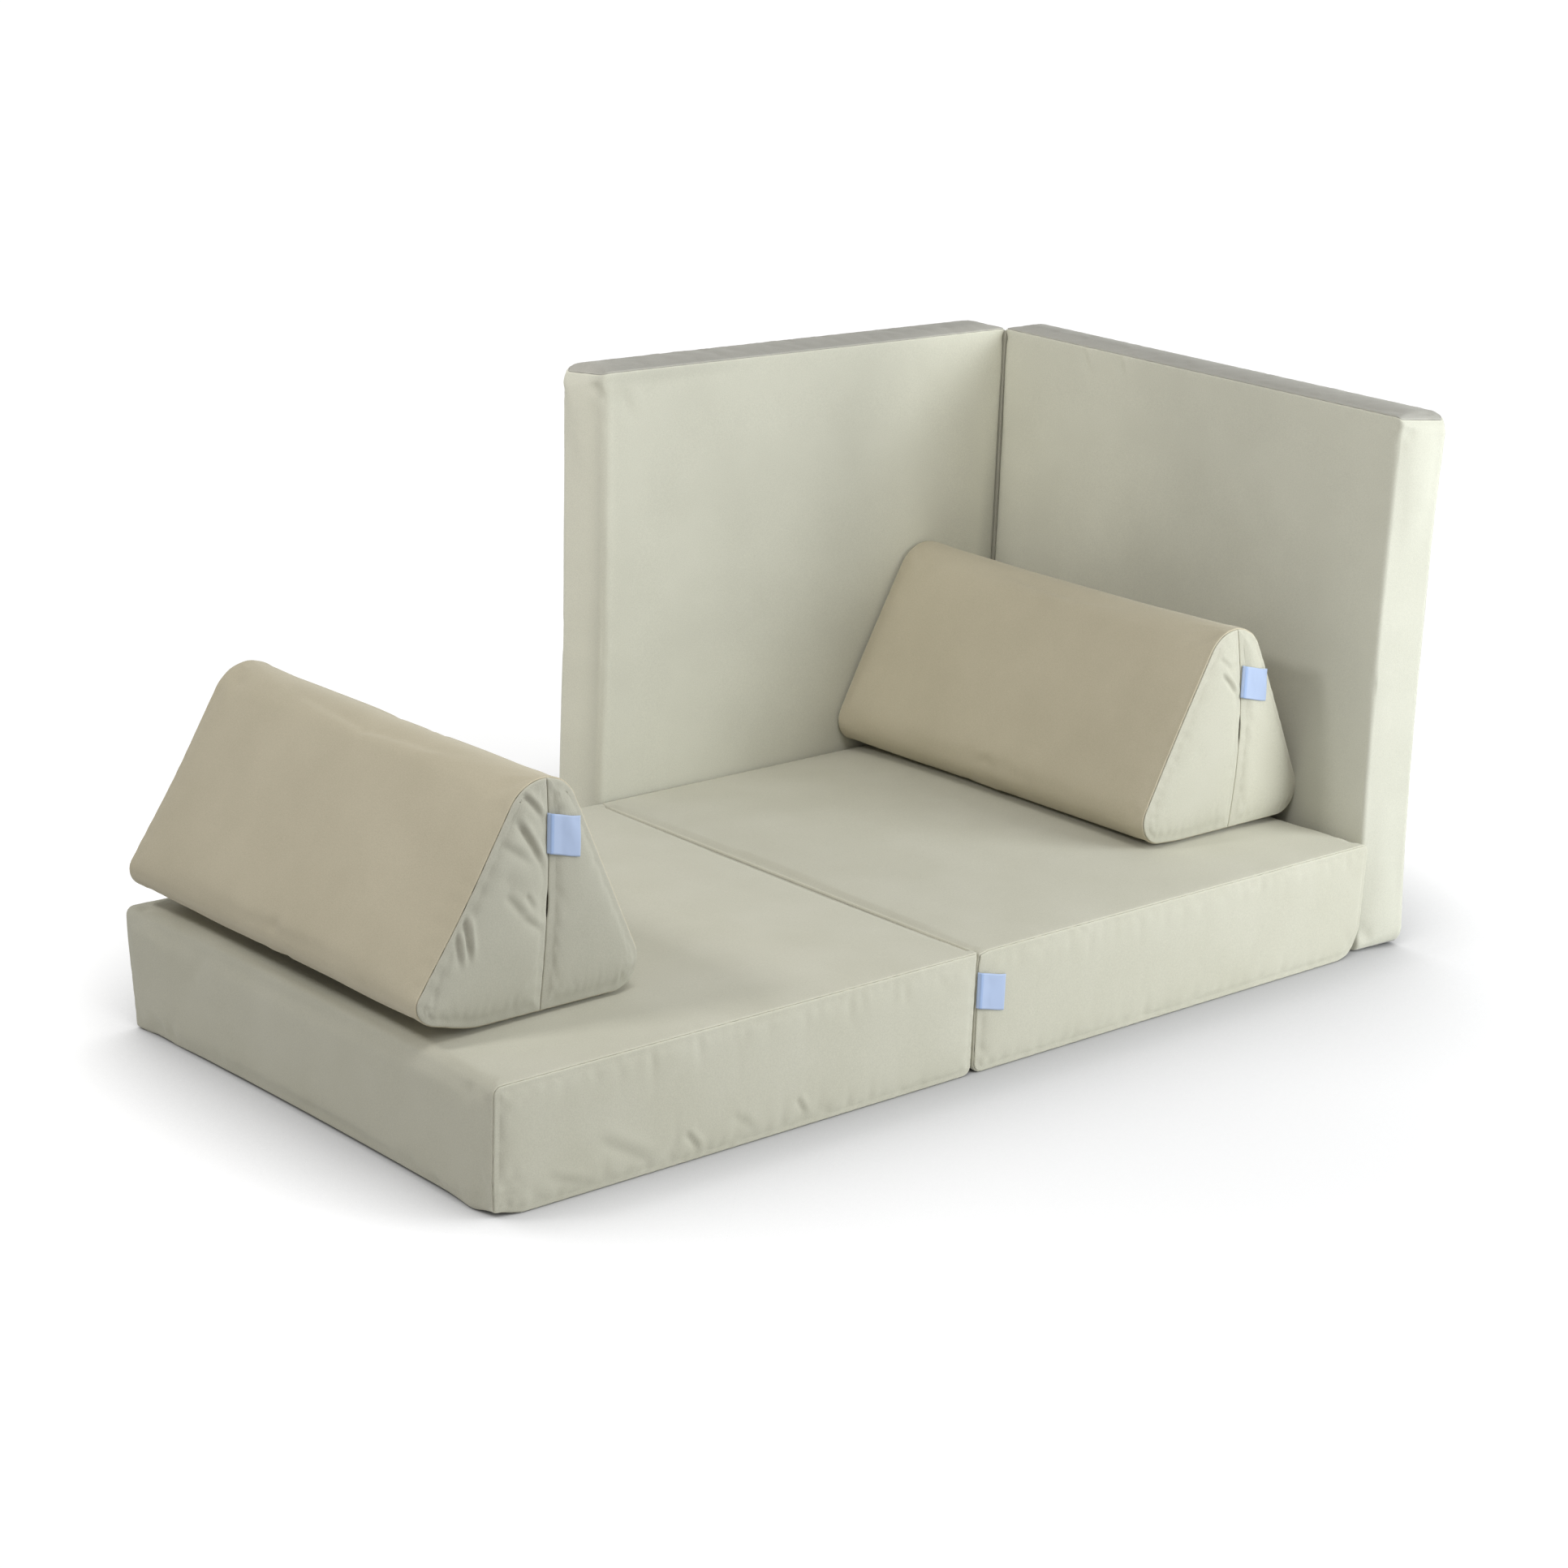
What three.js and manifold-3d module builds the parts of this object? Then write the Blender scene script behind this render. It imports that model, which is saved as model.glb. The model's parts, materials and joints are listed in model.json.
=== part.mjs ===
// Modular foam play sofa in millimetres, +Z up: a folding seat mat, a folding back mat and two
// prism pillows. X runs along the seat, Y from its front to its back, and Z = 0 is the floor.
// Every module is a foam block in a sewn velvet cover with a zip.
import * as THREE from 'three';
import Module from 'manifold-3d';
import { mergeVertices } from 'three/addons/utils/BufferGeometryUtils.js';

const wasm = await Module();
wasm.setup();

// Seat mat: two square halves that fold together on their top face
const seatHalfLength = 600;
const seatWidth = 602;
const seatThickness = 130;
const seatCrown = 6;

// Back mat: the same fold, stood on edge as a corner
const backHalfLength = 600;
const backHeight = 603;
const backThickness = 61;
const backCrown = 2.5;

// Prism pillow: its section is a triangle with round corners
const pillowLength = 490;
const pillowBase = 286;
const pillowPeak = 276;
const baseCornerRadius = 28;
const peakCornerRadius = 41;
const pillowCrown = 3;

// Covers and their end panels
const coverWall = 2;
const clearance = 0.3;
const endDraw = 4;
const foldDraw = 4;
const foldSetback = 0.9;
const foldEdgeRadius = 4;
const roundEdgeRadius = 11;
const leastRadius = 1;
const rimInset = 3;
const rimRun = 4;
const panelBulge = 2;
const panelBand = 16;
const pillowEndBulge = 3;

// Zips and their sliders
const matZipSlot = 12;
const pillowZipSlot = 9;
const zipTapeThickness = 1.4;
const coilRadius = 1.8;
const stopWidth = 5;
const stopHeight = 2.4;
const stopLength = 4;
const sliderLength = 11;
const sliderWall = 1;
const matZipMargin = 84;
const pillowZipBottom = 30;
const pillowZipTop = 176;
const leftSeamShift = 4;
const rightSeamShift = 12;

// Fold tapes and labels
const foldTapeThickness = 1.2;
const foldTapeDepth = 14;
const foldTapeDrop = 1.5;
const foldTapeMargin = 12;
const labelWidth = 40;
const labelHeight = 38;
const labelRibbon = 0.5;
const labelSlit = 0.4;
const labelHem = 1.6;
const seatLabelBottom = 66;
const pillowLabelBottom = 144;

// Where the loose modules stand
const matGap = 0.5;
const leftPillowFront = 107;
const cutOverrun = 2;

// Stations and subdivisions of the soft forms
const stationShares = [0.12, 0.5, 0.88];
const faceShares = [0.25, 0.5, 0.75];
const sideShares = [0.33, 0.67];
const matArcSteps = 3;
const pillowArcSteps = 4;
const coilArcSteps = 6;

const velvet = () => new THREE.MeshStandardMaterial({ color: '#bcb5a1', roughness: 0.95, metalness: 0 });
const foam = () => new THREE.MeshStandardMaterial({ color: '#ece2c4', roughness: 1, metalness: 0 });
const nylon = () => new THREE.MeshStandardMaterial({ color: '#c9c2b0', roughness: 0.6, metalness: 0 });
const zinc = () => new THREE.MeshStandardMaterial({ color: '#a9a497', roughness: 0.4, metalness: 0.8 });
const satin = () => new THREE.MeshStandardMaterial({ color: '#bccbe6', roughness: 0.7, metalness: 0 });

const vec = (x, y, z) => new THREE.Vector3(x, y, z);
const right = vec(1, 0, 0);
const left = vec(-1, 0, 0);
const back = vec(0, 1, 0);
const front = vec(0, -1, 0);
const up = vec(0, 0, 1);
const down = vec(0, 0, -1);

// Group whose own axes point along the three given directions
function framed(position, x, y, z) {
  const group = new THREE.Group();
  group.position.copy(position);
  group.quaternion.setFromRotationMatrix(new THREE.Matrix4().makeBasis(x, y, z));
  return group;
}

function add(group, name, geometry, material) {
  const mesh = new THREE.Mesh(geometry, material);
  mesh.name = name;
  group.add(mesh);
}

function toGeometry(positions, index) {
  const geometry = new THREE.BufferGeometry();
  geometry.setAttribute('position', new THREE.Float32BufferAttribute(positions, 3));
  geometry.setIndex(index);
  geometry.computeVertexNormals();
  return geometry;
}

function toSolid(geometry) {
  const bare = geometry.clone();
  bare.deleteAttribute('normal');
  bare.deleteAttribute('uv');
  const merged = mergeVertices(bare);
  const vertProperties = Float32Array.from(merged.attributes.position.array);
  const triVerts = Uint32Array.from(merged.index.array);
  return new wasm.Manifold(new wasm.Mesh({ numProp: 3, vertProperties, triVerts }));
}

function fromSolid(solid) {
  const { vertProperties, triVerts } = solid.getMesh();
  return toGeometry(Array.from(vertProperties), Array.from(triVerts));
}

function boxBetween(low, high) {
  const size = vec(0, 0, 0).subVectors(high, low);
  const middle = vec(0, 0, 0).addVectors(low, high).divideScalar(2);
  return new THREE.BoxGeometry(size.x, size.y, size.z).translate(middle.x, middle.y, middle.z);
}

function signedVolume(points, index) {
  let volume = 0;
  for (let i = 0; i < index.length; i += 3) {
    const [a, b, c] = [points[index[i]], points[index[i + 1]], points[index[i + 2]]];
    volume += a.dot(vec(0, 0, 0).crossVectors(b, c));
  }
  return volume;
}

// Closed body through rings of equal point count. A tube joins its last ring to its first, and any
// other body gets a fan over each end. Nested forms split their quads along the same diagonal.
function loft(rings, tube = false) {
  const count = rings[0].length;
  const points = rings.flat();
  const index = [];
  const bands = tube ? rings.length : rings.length - 1;
  for (let i = 0; i < bands; i++) {
    const next = (i + 1) % rings.length;
    const backwards = rings[next][0].y < rings[i][0].y;
    for (let j = 0; j < count; j++) {
      const k = (j + 1) % count;
      const [a, b, c, d] = [i * count + j, i * count + k, next * count + k, next * count + j];
      if (backwards) index.push(a, b, c, a, c, d);
      else index.push(a, b, d, b, c, d);
    }
  }
  if (!tube) {
    const first = points.length;
    const lastRing = (rings.length - 1) * count;
    for (const ring of [rings[0], rings.at(-1)]) {
      points.push(ring.reduce((sum, p) => sum.add(p), vec(0, 0, 0)).divideScalar(count));
    }
    for (let j = 0; j < count; j++) {
      const k = (j + 1) % count;
      index.push(first, k, j, first + 1, lastRing + j, lastRing + k);
    }
  }
  if (signedVolume(points, index) < 0) index.reverse();
  return toGeometry(points.flatMap((p) => p.toArray()), index);
}

// Rise of a stuffed face across its width: nothing at its two edges and 1 over most of the middle
const swell = (share) => 1 - (2 * share - 1) ** 4;

// Pull of a tight seam on a side: nothing at the corners and 1 halfway between them
const bow = (share) => 1 - (2 * share - 1) ** 2;

// The fold side is drawn in to a flat between its first and last stations, where the zip lies
const plateau = (share) => Math.min(1, share / stationShares[0], (1 - share) / stationShares[0]);

function arc(centreX, centreZ, radius, start, sweep, steps) {
  const points = [];
  for (let i = 0; i <= steps; i++) {
    const angle = start + (sweep * i) / steps;
    points.push([centreX + radius * Math.cos(angle), centreZ + radius * Math.sin(angle)]);
  }
  return points;
}

const between = (from, to, shares) => shares.map((share) => from + (to - from) * share);

// Section of a mat half at one station along the fold, inset from the cover's outside. Its x runs
// from the fold to the outer end, and its z up to the face that folds.
function matRing(mat, station, inset, y = station, subdivided = true) {
  const { length, width, thickness, crown, underCrown } = mat;
  const share = station / width;
  const round = Math.max(roundEdgeRadius - inset, leastRadius);
  const crisp = Math.max(foldEdgeRadius - inset, leastRadius);
  const [near, far, low, high] = [inset, length - inset, inset, thickness - inset];
  const [across, upright] = subdivided ? [faceShares, sideShares] : [[], []];
  const quarter = Math.PI / 2;
  const outline = [
    ...arc(near + round, low + round, round, Math.PI, quarter, matArcSteps),
    ...between(near, far, across).map((x) => [x, low]),
    ...arc(far - round, low + round, round, -quarter, quarter, matArcSteps),
    ...between(low, high, upright).map((z) => [far, z]),
    ...arc(far - round, high - round, round, 0, quarter, matArcSteps),
    ...between(far, near, across).map((x) => [x, high]),
    ...arc(near + crisp, high - crisp, crisp, quarter, quarter, matArcSteps),
  ];
  const stretch = (length - foldSetback - endDraw * bow(share)) / length;
  const body = outline.map(([x, z]) => {
    const rise = swell(x / length) * swell(share);
    const lift = crown * rise * (z / thickness) - underCrown * rise * (1 - z / thickness);
    return vec(foldSetback + x * stretch, y, z + lift);
  });
  const drawnX = foldSetback + near * stretch + foldDraw * plateau(share);
  return [...body, ...between(high, low, upright).map((z) => vec(drawnX, y, z))];
}

// Section of a pillow at one station from its near end, inset from the cover's outside
function pillowRing(pillow, station, inset, y = station, subdivided = true) {
  const { base, peak, length, crown } = pillow;
  const slope = Math.atan2(peak, base / 2);
  const corners = [
    { x: -base / 2, z: 0, radius: baseCornerRadius, half: slope / 2, inward: slope / 2 },
    { x: base / 2, z: 0, radius: baseCornerRadius, half: slope / 2, inward: Math.PI - slope / 2 },
    { x: 0, z: peak, radius: peakCornerRadius, half: Math.PI / 2 - slope, inward: -Math.PI / 2 },
  ].map((corner) => {
    const radius = Math.max(corner.radius - inset, leastRadius);
    const away = (radius + inset) / Math.sin(corner.half);
    const centreX = corner.x + away * Math.cos(corner.inward);
    const centreZ = corner.z + away * Math.sin(corner.inward);
    const sweep = Math.PI - 2 * corner.half;
    const start = corner.inward + Math.PI - sweep / 2;
    return arc(centreX, centreZ, radius, start, sweep, pillowArcSteps);
  });
  const rise = crown * swell(station / length);
  const outline = corners.flatMap((corner, i) => {
    const [x0, z0] = corner.at(-1);
    const [x1, z1] = corners[(i + 1) % corners.length][0];
    const run = Math.hypot(x1 - x0, z1 - z0);
    const side = (subdivided ? sideShares : []).map((share) => [
      x0 + (x1 - x0) * share + (rise * (z1 - z0)) / run,
      z0 + (z1 - z0) * share - (rise * (x1 - x0)) / run,
    ]);
    return [...corner, ...side];
  });
  return outline.map(([x, z]) => vec(x, y, z));
}

// Cover: a tube of velvet round the block, with a turned-in rim where each end panel is sewn
function coverBody(ringAt, length) {
  const skin = (inset) => [
    ringAt(0, inset + rimInset),
    ringAt(rimRun, inset),
    ...stationShares.map((share) => ringAt(share * length, inset)),
    ringAt(length - rimRun, inset),
    ringAt(length, inset + rimInset),
  ];
  return loft([...skin(0), ...skin(coverWall).reverse()], true);
}

// Foam block, one clearance inside its cover and end panels
function foamBody(ringAt, length, bulges) {
  const inset = coverWall + clearance;
  const mouth = inset + rimInset;
  return loft([
    ringAt(0, mouth + panelBand, inset - bulges[0]),
    ringAt(0, mouth, inset),
    ringAt(rimRun + clearance, inset),
    ...stationShares.map((share) => ringAt(share * length, inset)),
    ringAt(length - rimRun - clearance, inset),
    ringAt(length, mouth, length - inset),
    ringAt(length, mouth + panelBand, length - inset + bulges[1]),
  ]);
}

// End panel that closes the cover: a flat middle stands out of its sewn edge by the bulge
function endPanel(ringAt, station, inwards, bulge) {
  const mouth = coverWall + rimInset + clearance;
  const ring = (inset, depth) => ringAt(station, inset, station + inwards * depth, false);
  return loft([
    ring(mouth + panelBand, coverWall - bulge),
    ring(mouth, coverWall),
    ring(mouth, 0),
    ring(mouth + panelBand, -bulge),
  ]);
}

// Zip chain in its own frame: it runs along y from 0 and its coil stands up from z = 0
function zipBody(length, slot) {
  const half = slot / 2 - clearance;
  const profile = new THREE.Shape();
  profile.moveTo(-half, -zipTapeThickness);
  profile.lineTo(half, -zipTapeThickness);
  profile.lineTo(half, 0);
  profile.lineTo(coilRadius, 0);
  profile.absarc(0, 0, coilRadius, 0, Math.PI, false);
  profile.lineTo(-half, 0);
  profile.closePath();
  const options = { depth: length, bevelEnabled: false, curveSegments: coilArcSteps };
  const chain = new THREE.ExtrudeGeometry(profile, options).rotateX(Math.PI / 2).translate(0, length, 0);
  const stops = [0, length - stopLength].map((y) => toSolid(boxBetween(
    vec(-stopWidth / 2, y, -zipTapeThickness / 2),
    vec(stopWidth / 2, y + stopLength, stopHeight),
  )));
  return fromSolid(stops.reduce((sum, stop) => sum.add(stop), toSolid(chain)));
}

// Zip slider: a channel that straddles the coil, with a nose at each end
function sliderBody() {
  const inner = coilRadius + clearance;
  const outer = inner + sliderWall;
  const profile = new THREE.Shape();
  profile.moveTo(-outer, clearance);
  profile.lineTo(-inner, clearance);
  profile.lineTo(-inner, inner);
  profile.lineTo(inner, inner);
  profile.lineTo(inner, clearance);
  profile.lineTo(outer, clearance);
  profile.lineTo(outer, inner);
  profile.lineTo(inner, outer);
  profile.lineTo(-inner, outer);
  profile.lineTo(-outer, inner);
  profile.closePath();
  const options = { depth: sliderLength, bevelEnabled: false };
  return new THREE.ExtrudeGeometry(profile, options).rotateX(Math.PI / 2).translate(0, sliderLength, 0);
}

// Ribbon label folded double, in its own frame: sewn edge at x = 0, fold at its far end, z outwards
function labelBody() {
  const thickness = 2 * labelRibbon + labelSlit;
  const profile = new THREE.Shape();
  profile.moveTo(0, 0);
  profile.lineTo(labelWidth, 0);
  profile.lineTo(labelWidth, thickness);
  profile.lineTo(0, thickness);
  profile.lineTo(0, thickness - labelRibbon);
  profile.lineTo(labelWidth - labelHem, thickness - labelRibbon);
  profile.lineTo(labelWidth - labelHem, labelRibbon);
  profile.lineTo(0, labelRibbon);
  profile.closePath();
  const options = { depth: labelHeight, bevelEnabled: false };
  return new THREE.ExtrudeGeometry(profile, options).rotateX(Math.PI / 2).translate(0, labelHeight, 0);
}

// Adds the zip and its slider; the slider waits at the closed end, just past the stop
function addZip(group, name, origin, across, along, outwards, length, slot) {
  const zip = framed(origin, across, along, outwards);
  add(zip, `${name}_zip`, zipBody(length, slot), nylon());
  const slider = framed(vec(0, stopLength + clearance, 0), right, back, up);
  add(slider, `${name}_zip_slider`, sliderBody(), zinc());
  zip.add(slider);
  group.add(zip);
}

// One half of a mat. Panels are named for the two ends of the fold, each with its own bulge.
function matHalf(name, mat, group, panels) {
  const ringAt = (...rest) => matRing(mat, ...rest);
  const { width, thickness } = mat;
  const foldFace = foldSetback + foldDraw;
  const zipLow = matZipMargin;
  const zipHigh = width - matZipMargin;
  const slot = boxBetween(
    vec(foldFace - cutOverrun, zipLow, (thickness - matZipSlot) / 2),
    vec(foldFace + coverWall + cutOverrun, zipHigh, (thickness + matZipSlot) / 2),
  );
  const cover = toSolid(coverBody(ringAt, width)).subtract(toSolid(slot));
  const bulges = panels.map((panel) => panel.bulge);
  add(group, `${name}_foam`, foamBody(ringAt, width, bulges), foam());
  add(group, `${name}_cover`, fromSolid(cover), velvet());
  add(group, `${name}_${panels[0].side}_panel`, endPanel(ringAt, 0, 1, bulges[0]), velvet());
  add(group, `${name}_${panels[1].side}_panel`, endPanel(ringAt, width, -1, bulges[1]), velvet());
  const zipLength = zipHigh - zipLow - 2 * clearance;
  const zipX = foldFace + (coverWall - zipTapeThickness) / 2;
  if (mat.zipFromLow) {
    addZip(group, name, vec(zipX, zipLow + clearance, thickness / 2), up, back, left, zipLength, matZipSlot);
  } else {
    addZip(group, name, vec(zipX, zipHigh - clearance, thickness / 2), down, front, left, zipLength, matZipSlot);
  }
}

// Strip that is sewn to both halves just under the fold line
function foldTape(mat) {
  return boxBetween(
    vec(-foldTapeThickness / 2, foldTapeMargin, mat.thickness - foldTapeDepth),
    vec(foldTapeThickness / 2, mat.width - foldTapeMargin, mat.thickness - foldTapeDrop),
  );
}

const sofa = new THREE.Group();
const foldX = seatHalfLength;
const seatEnd = 2 * seatHalfLength;

// Seat mat, flat on the floor
const seat = {
  length: seatHalfLength,
  width: seatWidth,
  thickness: seatThickness,
  crown: seatCrown,
  underCrown: 0,
};
const frontPanel = { side: 'front', bulge: panelBulge };
const rearPanel = { side: 'rear', bulge: panelBulge };
const seatLeft = framed(vec(foldX, seatWidth, 0), left, front, up);
matHalf('seat_left', { ...seat, zipFromLow: true }, seatLeft, [rearPanel, frontPanel]);
const seatRight = framed(vec(foldX, 0, 0), right, back, up);
matHalf('seat_right', { ...seat, zipFromLow: false }, seatRight, [frontPanel, rearPanel]);
add(seatRight, 'seat_fold_tape', foldTape(seat), velvet());
sofa.add(seatLeft, seatRight);

// Back mat, on edge round the seat's rear right corner and folded square
const cornerX = seatEnd + backCrown + clearance;
const cornerY = seatWidth + panelBulge + backCrown + matGap;
const backMat = {
  length: backHalfLength,
  width: backHeight,
  thickness: backThickness,
  crown: backCrown,
  underCrown: backCrown,
};
const topPanel = { side: 'top', bulge: panelBulge };
const bottomPanel = { side: 'bottom', bulge: 0 };
const backRear = framed(vec(cornerX, cornerY + backThickness, backHeight), left, down, front);
matHalf('back_rear', { ...backMat, zipFromLow: false }, backRear, [topPanel, bottomPanel]);
add(backRear, 'back_fold_tape', foldTape(backMat), velvet());
const backSide = framed(vec(cornerX + backThickness, cornerY, 0), front, up, left);
matHalf('back_side', { ...backMat, zipFromLow: true }, backSide, [bottomPanel, topPanel]);
sofa.add(backRear, backSide);

// Pillow: a zip runs down the middle of its near end, and a label is sewn in beside it
const pillow = { base: pillowBase, peak: pillowPeak, length: pillowLength, crown: pillowCrown };
const pillowSlope = Math.atan2(pillowPeak, pillowBase / 2);
const pillowHalfWidth = pillowBase / 2 - baseCornerRadius / Math.tan(pillowSlope / 2) + baseCornerRadius;

function prismPillow(name, group, seamX) {
  const ringAt = (...rest) => pillowRing(pillow, ...rest);
  const bulges = [pillowEndBulge, pillowEndBulge];
  add(group, `${name}_foam`, foamBody(ringAt, pillowLength, bulges), foam());
  add(group, `${name}_cover`, coverBody(ringAt, pillowLength), velvet());
  add(group, `${name}_far_panel`, endPanel(ringAt, pillowLength, -1, pillowEndBulge), velvet());

  const face = -pillowEndBulge;
  const depth = coverWall + cutOverrun;
  const seam = toSolid(boxBetween(
    vec(seamX - clearance / 2, face - cutOverrun, -cutOverrun),
    vec(seamX + clearance / 2, depth, pillowPeak),
  ));
  const slot = toSolid(boxBetween(
    vec(seamX - pillowZipSlot / 2, face - cutOverrun, pillowZipBottom),
    vec(seamX + pillowZipSlot / 2, depth, pillowZipTop),
  ));
  const nearPanel = toSolid(endPanel(ringAt, 0, 1, pillowEndBulge)).subtract(seam).subtract(slot);
  const [leftPiece, rightPiece] = [[-pillowBase, seamX], [seamX, pillowBase]].map(([x0, x1]) =>
    nearPanel.intersect(toSolid(boxBetween(vec(x0, face - cutOverrun, 0), vec(x1, depth, pillowPeak)))));
  add(group, `${name}_near_panel_left`, fromSolid(leftPiece), velvet());
  add(group, `${name}_near_panel_right`, fromSolid(rightPiece), velvet());

  const zipLength = pillowZipTop - pillowZipBottom - 2 * clearance;
  const zipY = face + (coverWall - zipTapeThickness) / 2;
  addZip(group, name, vec(seamX, zipY, pillowZipBottom + clearance), right, up, front, zipLength, pillowZipSlot);
  const labelX = seamX + coilRadius + 2 * clearance + sliderWall;
  const label = framed(vec(labelX, face - clearance, pillowLabelBottom), right, up, front);
  add(label, `${name}_label`, labelBody(), satin());
  group.add(label);
}

const pillowZ = seatThickness + seatCrown + clearance + pillowCrown;
const leftPillow = framed(vec(pillowHalfWidth, leftPillowFront, pillowZ), right, back, up);
prismPillow('left_pillow', leftPillow, leftSeamShift);
const rightPillowX = cornerX - backCrown - clearance - pillowHalfWidth;
const rightPillowFront = cornerY - backCrown - clearance - pillowEndBulge - pillowLength;
const rightPillow = framed(vec(rightPillowX, rightPillowFront, pillowZ), right, back, up);
prismPillow('right_pillow', rightPillow, rightSeamShift);
sofa.add(leftPillow, rightPillow);

// Label at the fold, over the front of the right half
const seatLabelY = -panelBulge - clearance;
const seatLabel = framed(vec(foldX + foldSetback, seatLabelY, seatLabelBottom), right, up, front);
add(seatLabel, 'seat_label', labelBody(), satin());
sofa.add(seatLabel);

// Origin: the middle of the footprint, on the floor
sofa.updateMatrixWorld(true);
const footprint = new THREE.Box3().setFromObject(sofa, true);
const centre = footprint.getCenter(vec(0, 0, 0));
sofa.position.set(-centre.x, -centre.y, -footprint.min.z);

export default sofa;
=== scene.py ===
import json
import math

import bmesh
import bpy
import numpy as np
from mathutils import Matrix, Vector
from mathutils.bvhtree import BVHTree

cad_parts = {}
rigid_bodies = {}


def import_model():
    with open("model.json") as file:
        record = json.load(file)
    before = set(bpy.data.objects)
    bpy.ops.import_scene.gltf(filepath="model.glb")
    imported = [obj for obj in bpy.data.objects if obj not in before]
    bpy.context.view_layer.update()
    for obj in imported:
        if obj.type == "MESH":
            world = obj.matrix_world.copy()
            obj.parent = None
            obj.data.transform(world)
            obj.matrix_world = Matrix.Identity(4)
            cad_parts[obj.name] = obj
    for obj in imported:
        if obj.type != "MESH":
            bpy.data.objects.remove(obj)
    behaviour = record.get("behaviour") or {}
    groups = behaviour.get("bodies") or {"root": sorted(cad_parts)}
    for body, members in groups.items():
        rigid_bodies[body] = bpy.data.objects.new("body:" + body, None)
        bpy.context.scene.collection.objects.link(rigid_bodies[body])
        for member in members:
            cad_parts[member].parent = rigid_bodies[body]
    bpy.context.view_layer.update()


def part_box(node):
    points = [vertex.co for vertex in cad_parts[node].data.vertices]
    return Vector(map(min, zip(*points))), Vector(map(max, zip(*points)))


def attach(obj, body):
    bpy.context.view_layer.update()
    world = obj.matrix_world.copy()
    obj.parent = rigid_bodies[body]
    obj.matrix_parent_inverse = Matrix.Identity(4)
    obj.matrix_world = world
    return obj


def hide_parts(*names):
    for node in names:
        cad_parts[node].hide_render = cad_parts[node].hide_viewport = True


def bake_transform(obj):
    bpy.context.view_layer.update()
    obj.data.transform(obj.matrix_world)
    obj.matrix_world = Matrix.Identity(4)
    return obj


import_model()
scene = bpy.context.scene

MM = 0.001

# Sizes and places of the modules, as in the solids
MAT_LENGTH = 0.6
SEAT_WIDTH, SEAT_THICKNESS = 0.602, 0.13
BACK_WIDTH, BACK_THICKNESS = 0.603, 0.061
PILLOW_LENGTH, BASE, PEAK = 0.49, 286 * MM, 276 * MM
PILLOW_FOOT = 139.3 * MM
FOLD_X, FOLD_HIGH = -33.158 * MM, 130.15 * MM
CORNER_X, CORNER_Y = 569.64 * MM, 273.6 * MM

# Forms of the cushions, each mat's with its width, its thickness, and its crowns above and below
SEAT_FORM = (SEAT_WIDTH, SEAT_THICKNESS, 6 * MM, 0)
BACK_FORM = (BACK_WIDTH, BACK_THICKNESS, 2.5 * MM, 2.5 * MM)
FOLD_SETBACK = 0.35 * MM
FOLD_DRAW = 4 * MM
FOLD_REACH = 24 * MM
END_DRAW = 4 * MM
END_PLATEAU_SHARE = 0.12
FLARE_REACH = 160 * MM
DOME_REACH = 11 * MM
FLANK_SHARE = 0.12
# Radius of the back's sewn corners in millimetres, and how much it grows towards the outer face
CORNER_ROUND, CORNER_SPREAD = 9, 17
PANEL_BULGE = 2 * MM
PILLOW_CROWN = 3 * MM
PILLOW_BULGE = 3 * MM
MAT_FILL, PILLOW_FILL = 0.9, 0.8
LABEL_WALL, LABEL_DIP = 0.8 * MM, 1.6 * MM
# Right, up and outwards on the near ends
FRONT_AXES = np.array([(1, 0, 0), (0, 0, 1), (0, -1, 0)], float)

# Sewing
SEAM_ROLL = 1.2 * MM
SEAM_GAP = 0.2 * MM
SEAM_CLOSED = 2.1 * MM
# Painted highlight along each seam: how much paler the velvet is painted, and how far from the seam it
# reaches
SEAM_PAINTED_HIGHLIGHT = 0.18
SEAM_HIGHLIGHT_REACH = 3.6 * MM
HEM = 1.8 * MM
HEM_DEPTH = SEAM_ROLL + HEM
LINING_START = HEM_DEPTH + 3 * MM
LINING_INSET = 7 * MM
LINING_RUN = 26 * MM
PANEL_WALL = 1.4 * MM
FOAM_INSET = 9 * MM
PUCKER_REACH = 9 * MM
PUCKER_HEIGHT = 0.13 * MM
WAVE_HEIGHT = 0.25 * MM
WAVE_LENGTH = 170 * MM
SWELL_REACH = 14 * MM
SINK_LIMIT = 3 * MM
CREASE_MARGIN = 5 * MM

# Mesh steps
FINE_STEP = 4.6 * MM
FRONT_STEP = 2.8 * MM
NEAR_STEP = 2.1 * MM
SEAM_STEP = 0.85 * MM
CORNER_STEP = 2.6 * MM
STEP_GROWTH = 0.22
MARK_STEP = 0.8 * MM
CLOTH_STEP = 9.5 * MM
FOAM_STEP = 24 * MM
ARC_STEPS = 20
STRIP_STEPS = 60
POINT_BATCH = 2000

# Zips
ZIP_MARGIN = 84 * MM
ZIP_SINK = 0.9 * MM
MAT_ZIP_DEPTH, MAT_ZIP_HALF = 4.9 * MM, 5.9 * MM
SLOT_HALF, SLOT_DEPTH, SLOT_MARK = 6.8 * MM, 2.2 * MM, 6.4 * MM
PILLOW_ZIP_DEPTH, PILLOW_ZIP_HALF = 5.6 * MM, 4.2 * MM
ZIP_TAPE = 0.9 * MM
COIL_PITCH = 1.45 * MM
STITCH_PITCH = 3.2 * MM


def srgb(code):
    """Linear colour of an sRGB hex code."""
    parts = [int(code[i : i + 2], 16) / 255 for i in (1, 3, 5)]
    return (*[p / 12.92 if p <= 0.04045 else ((p + 0.055) / 1.055) ** 2.4 for p in parts], 1)


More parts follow.
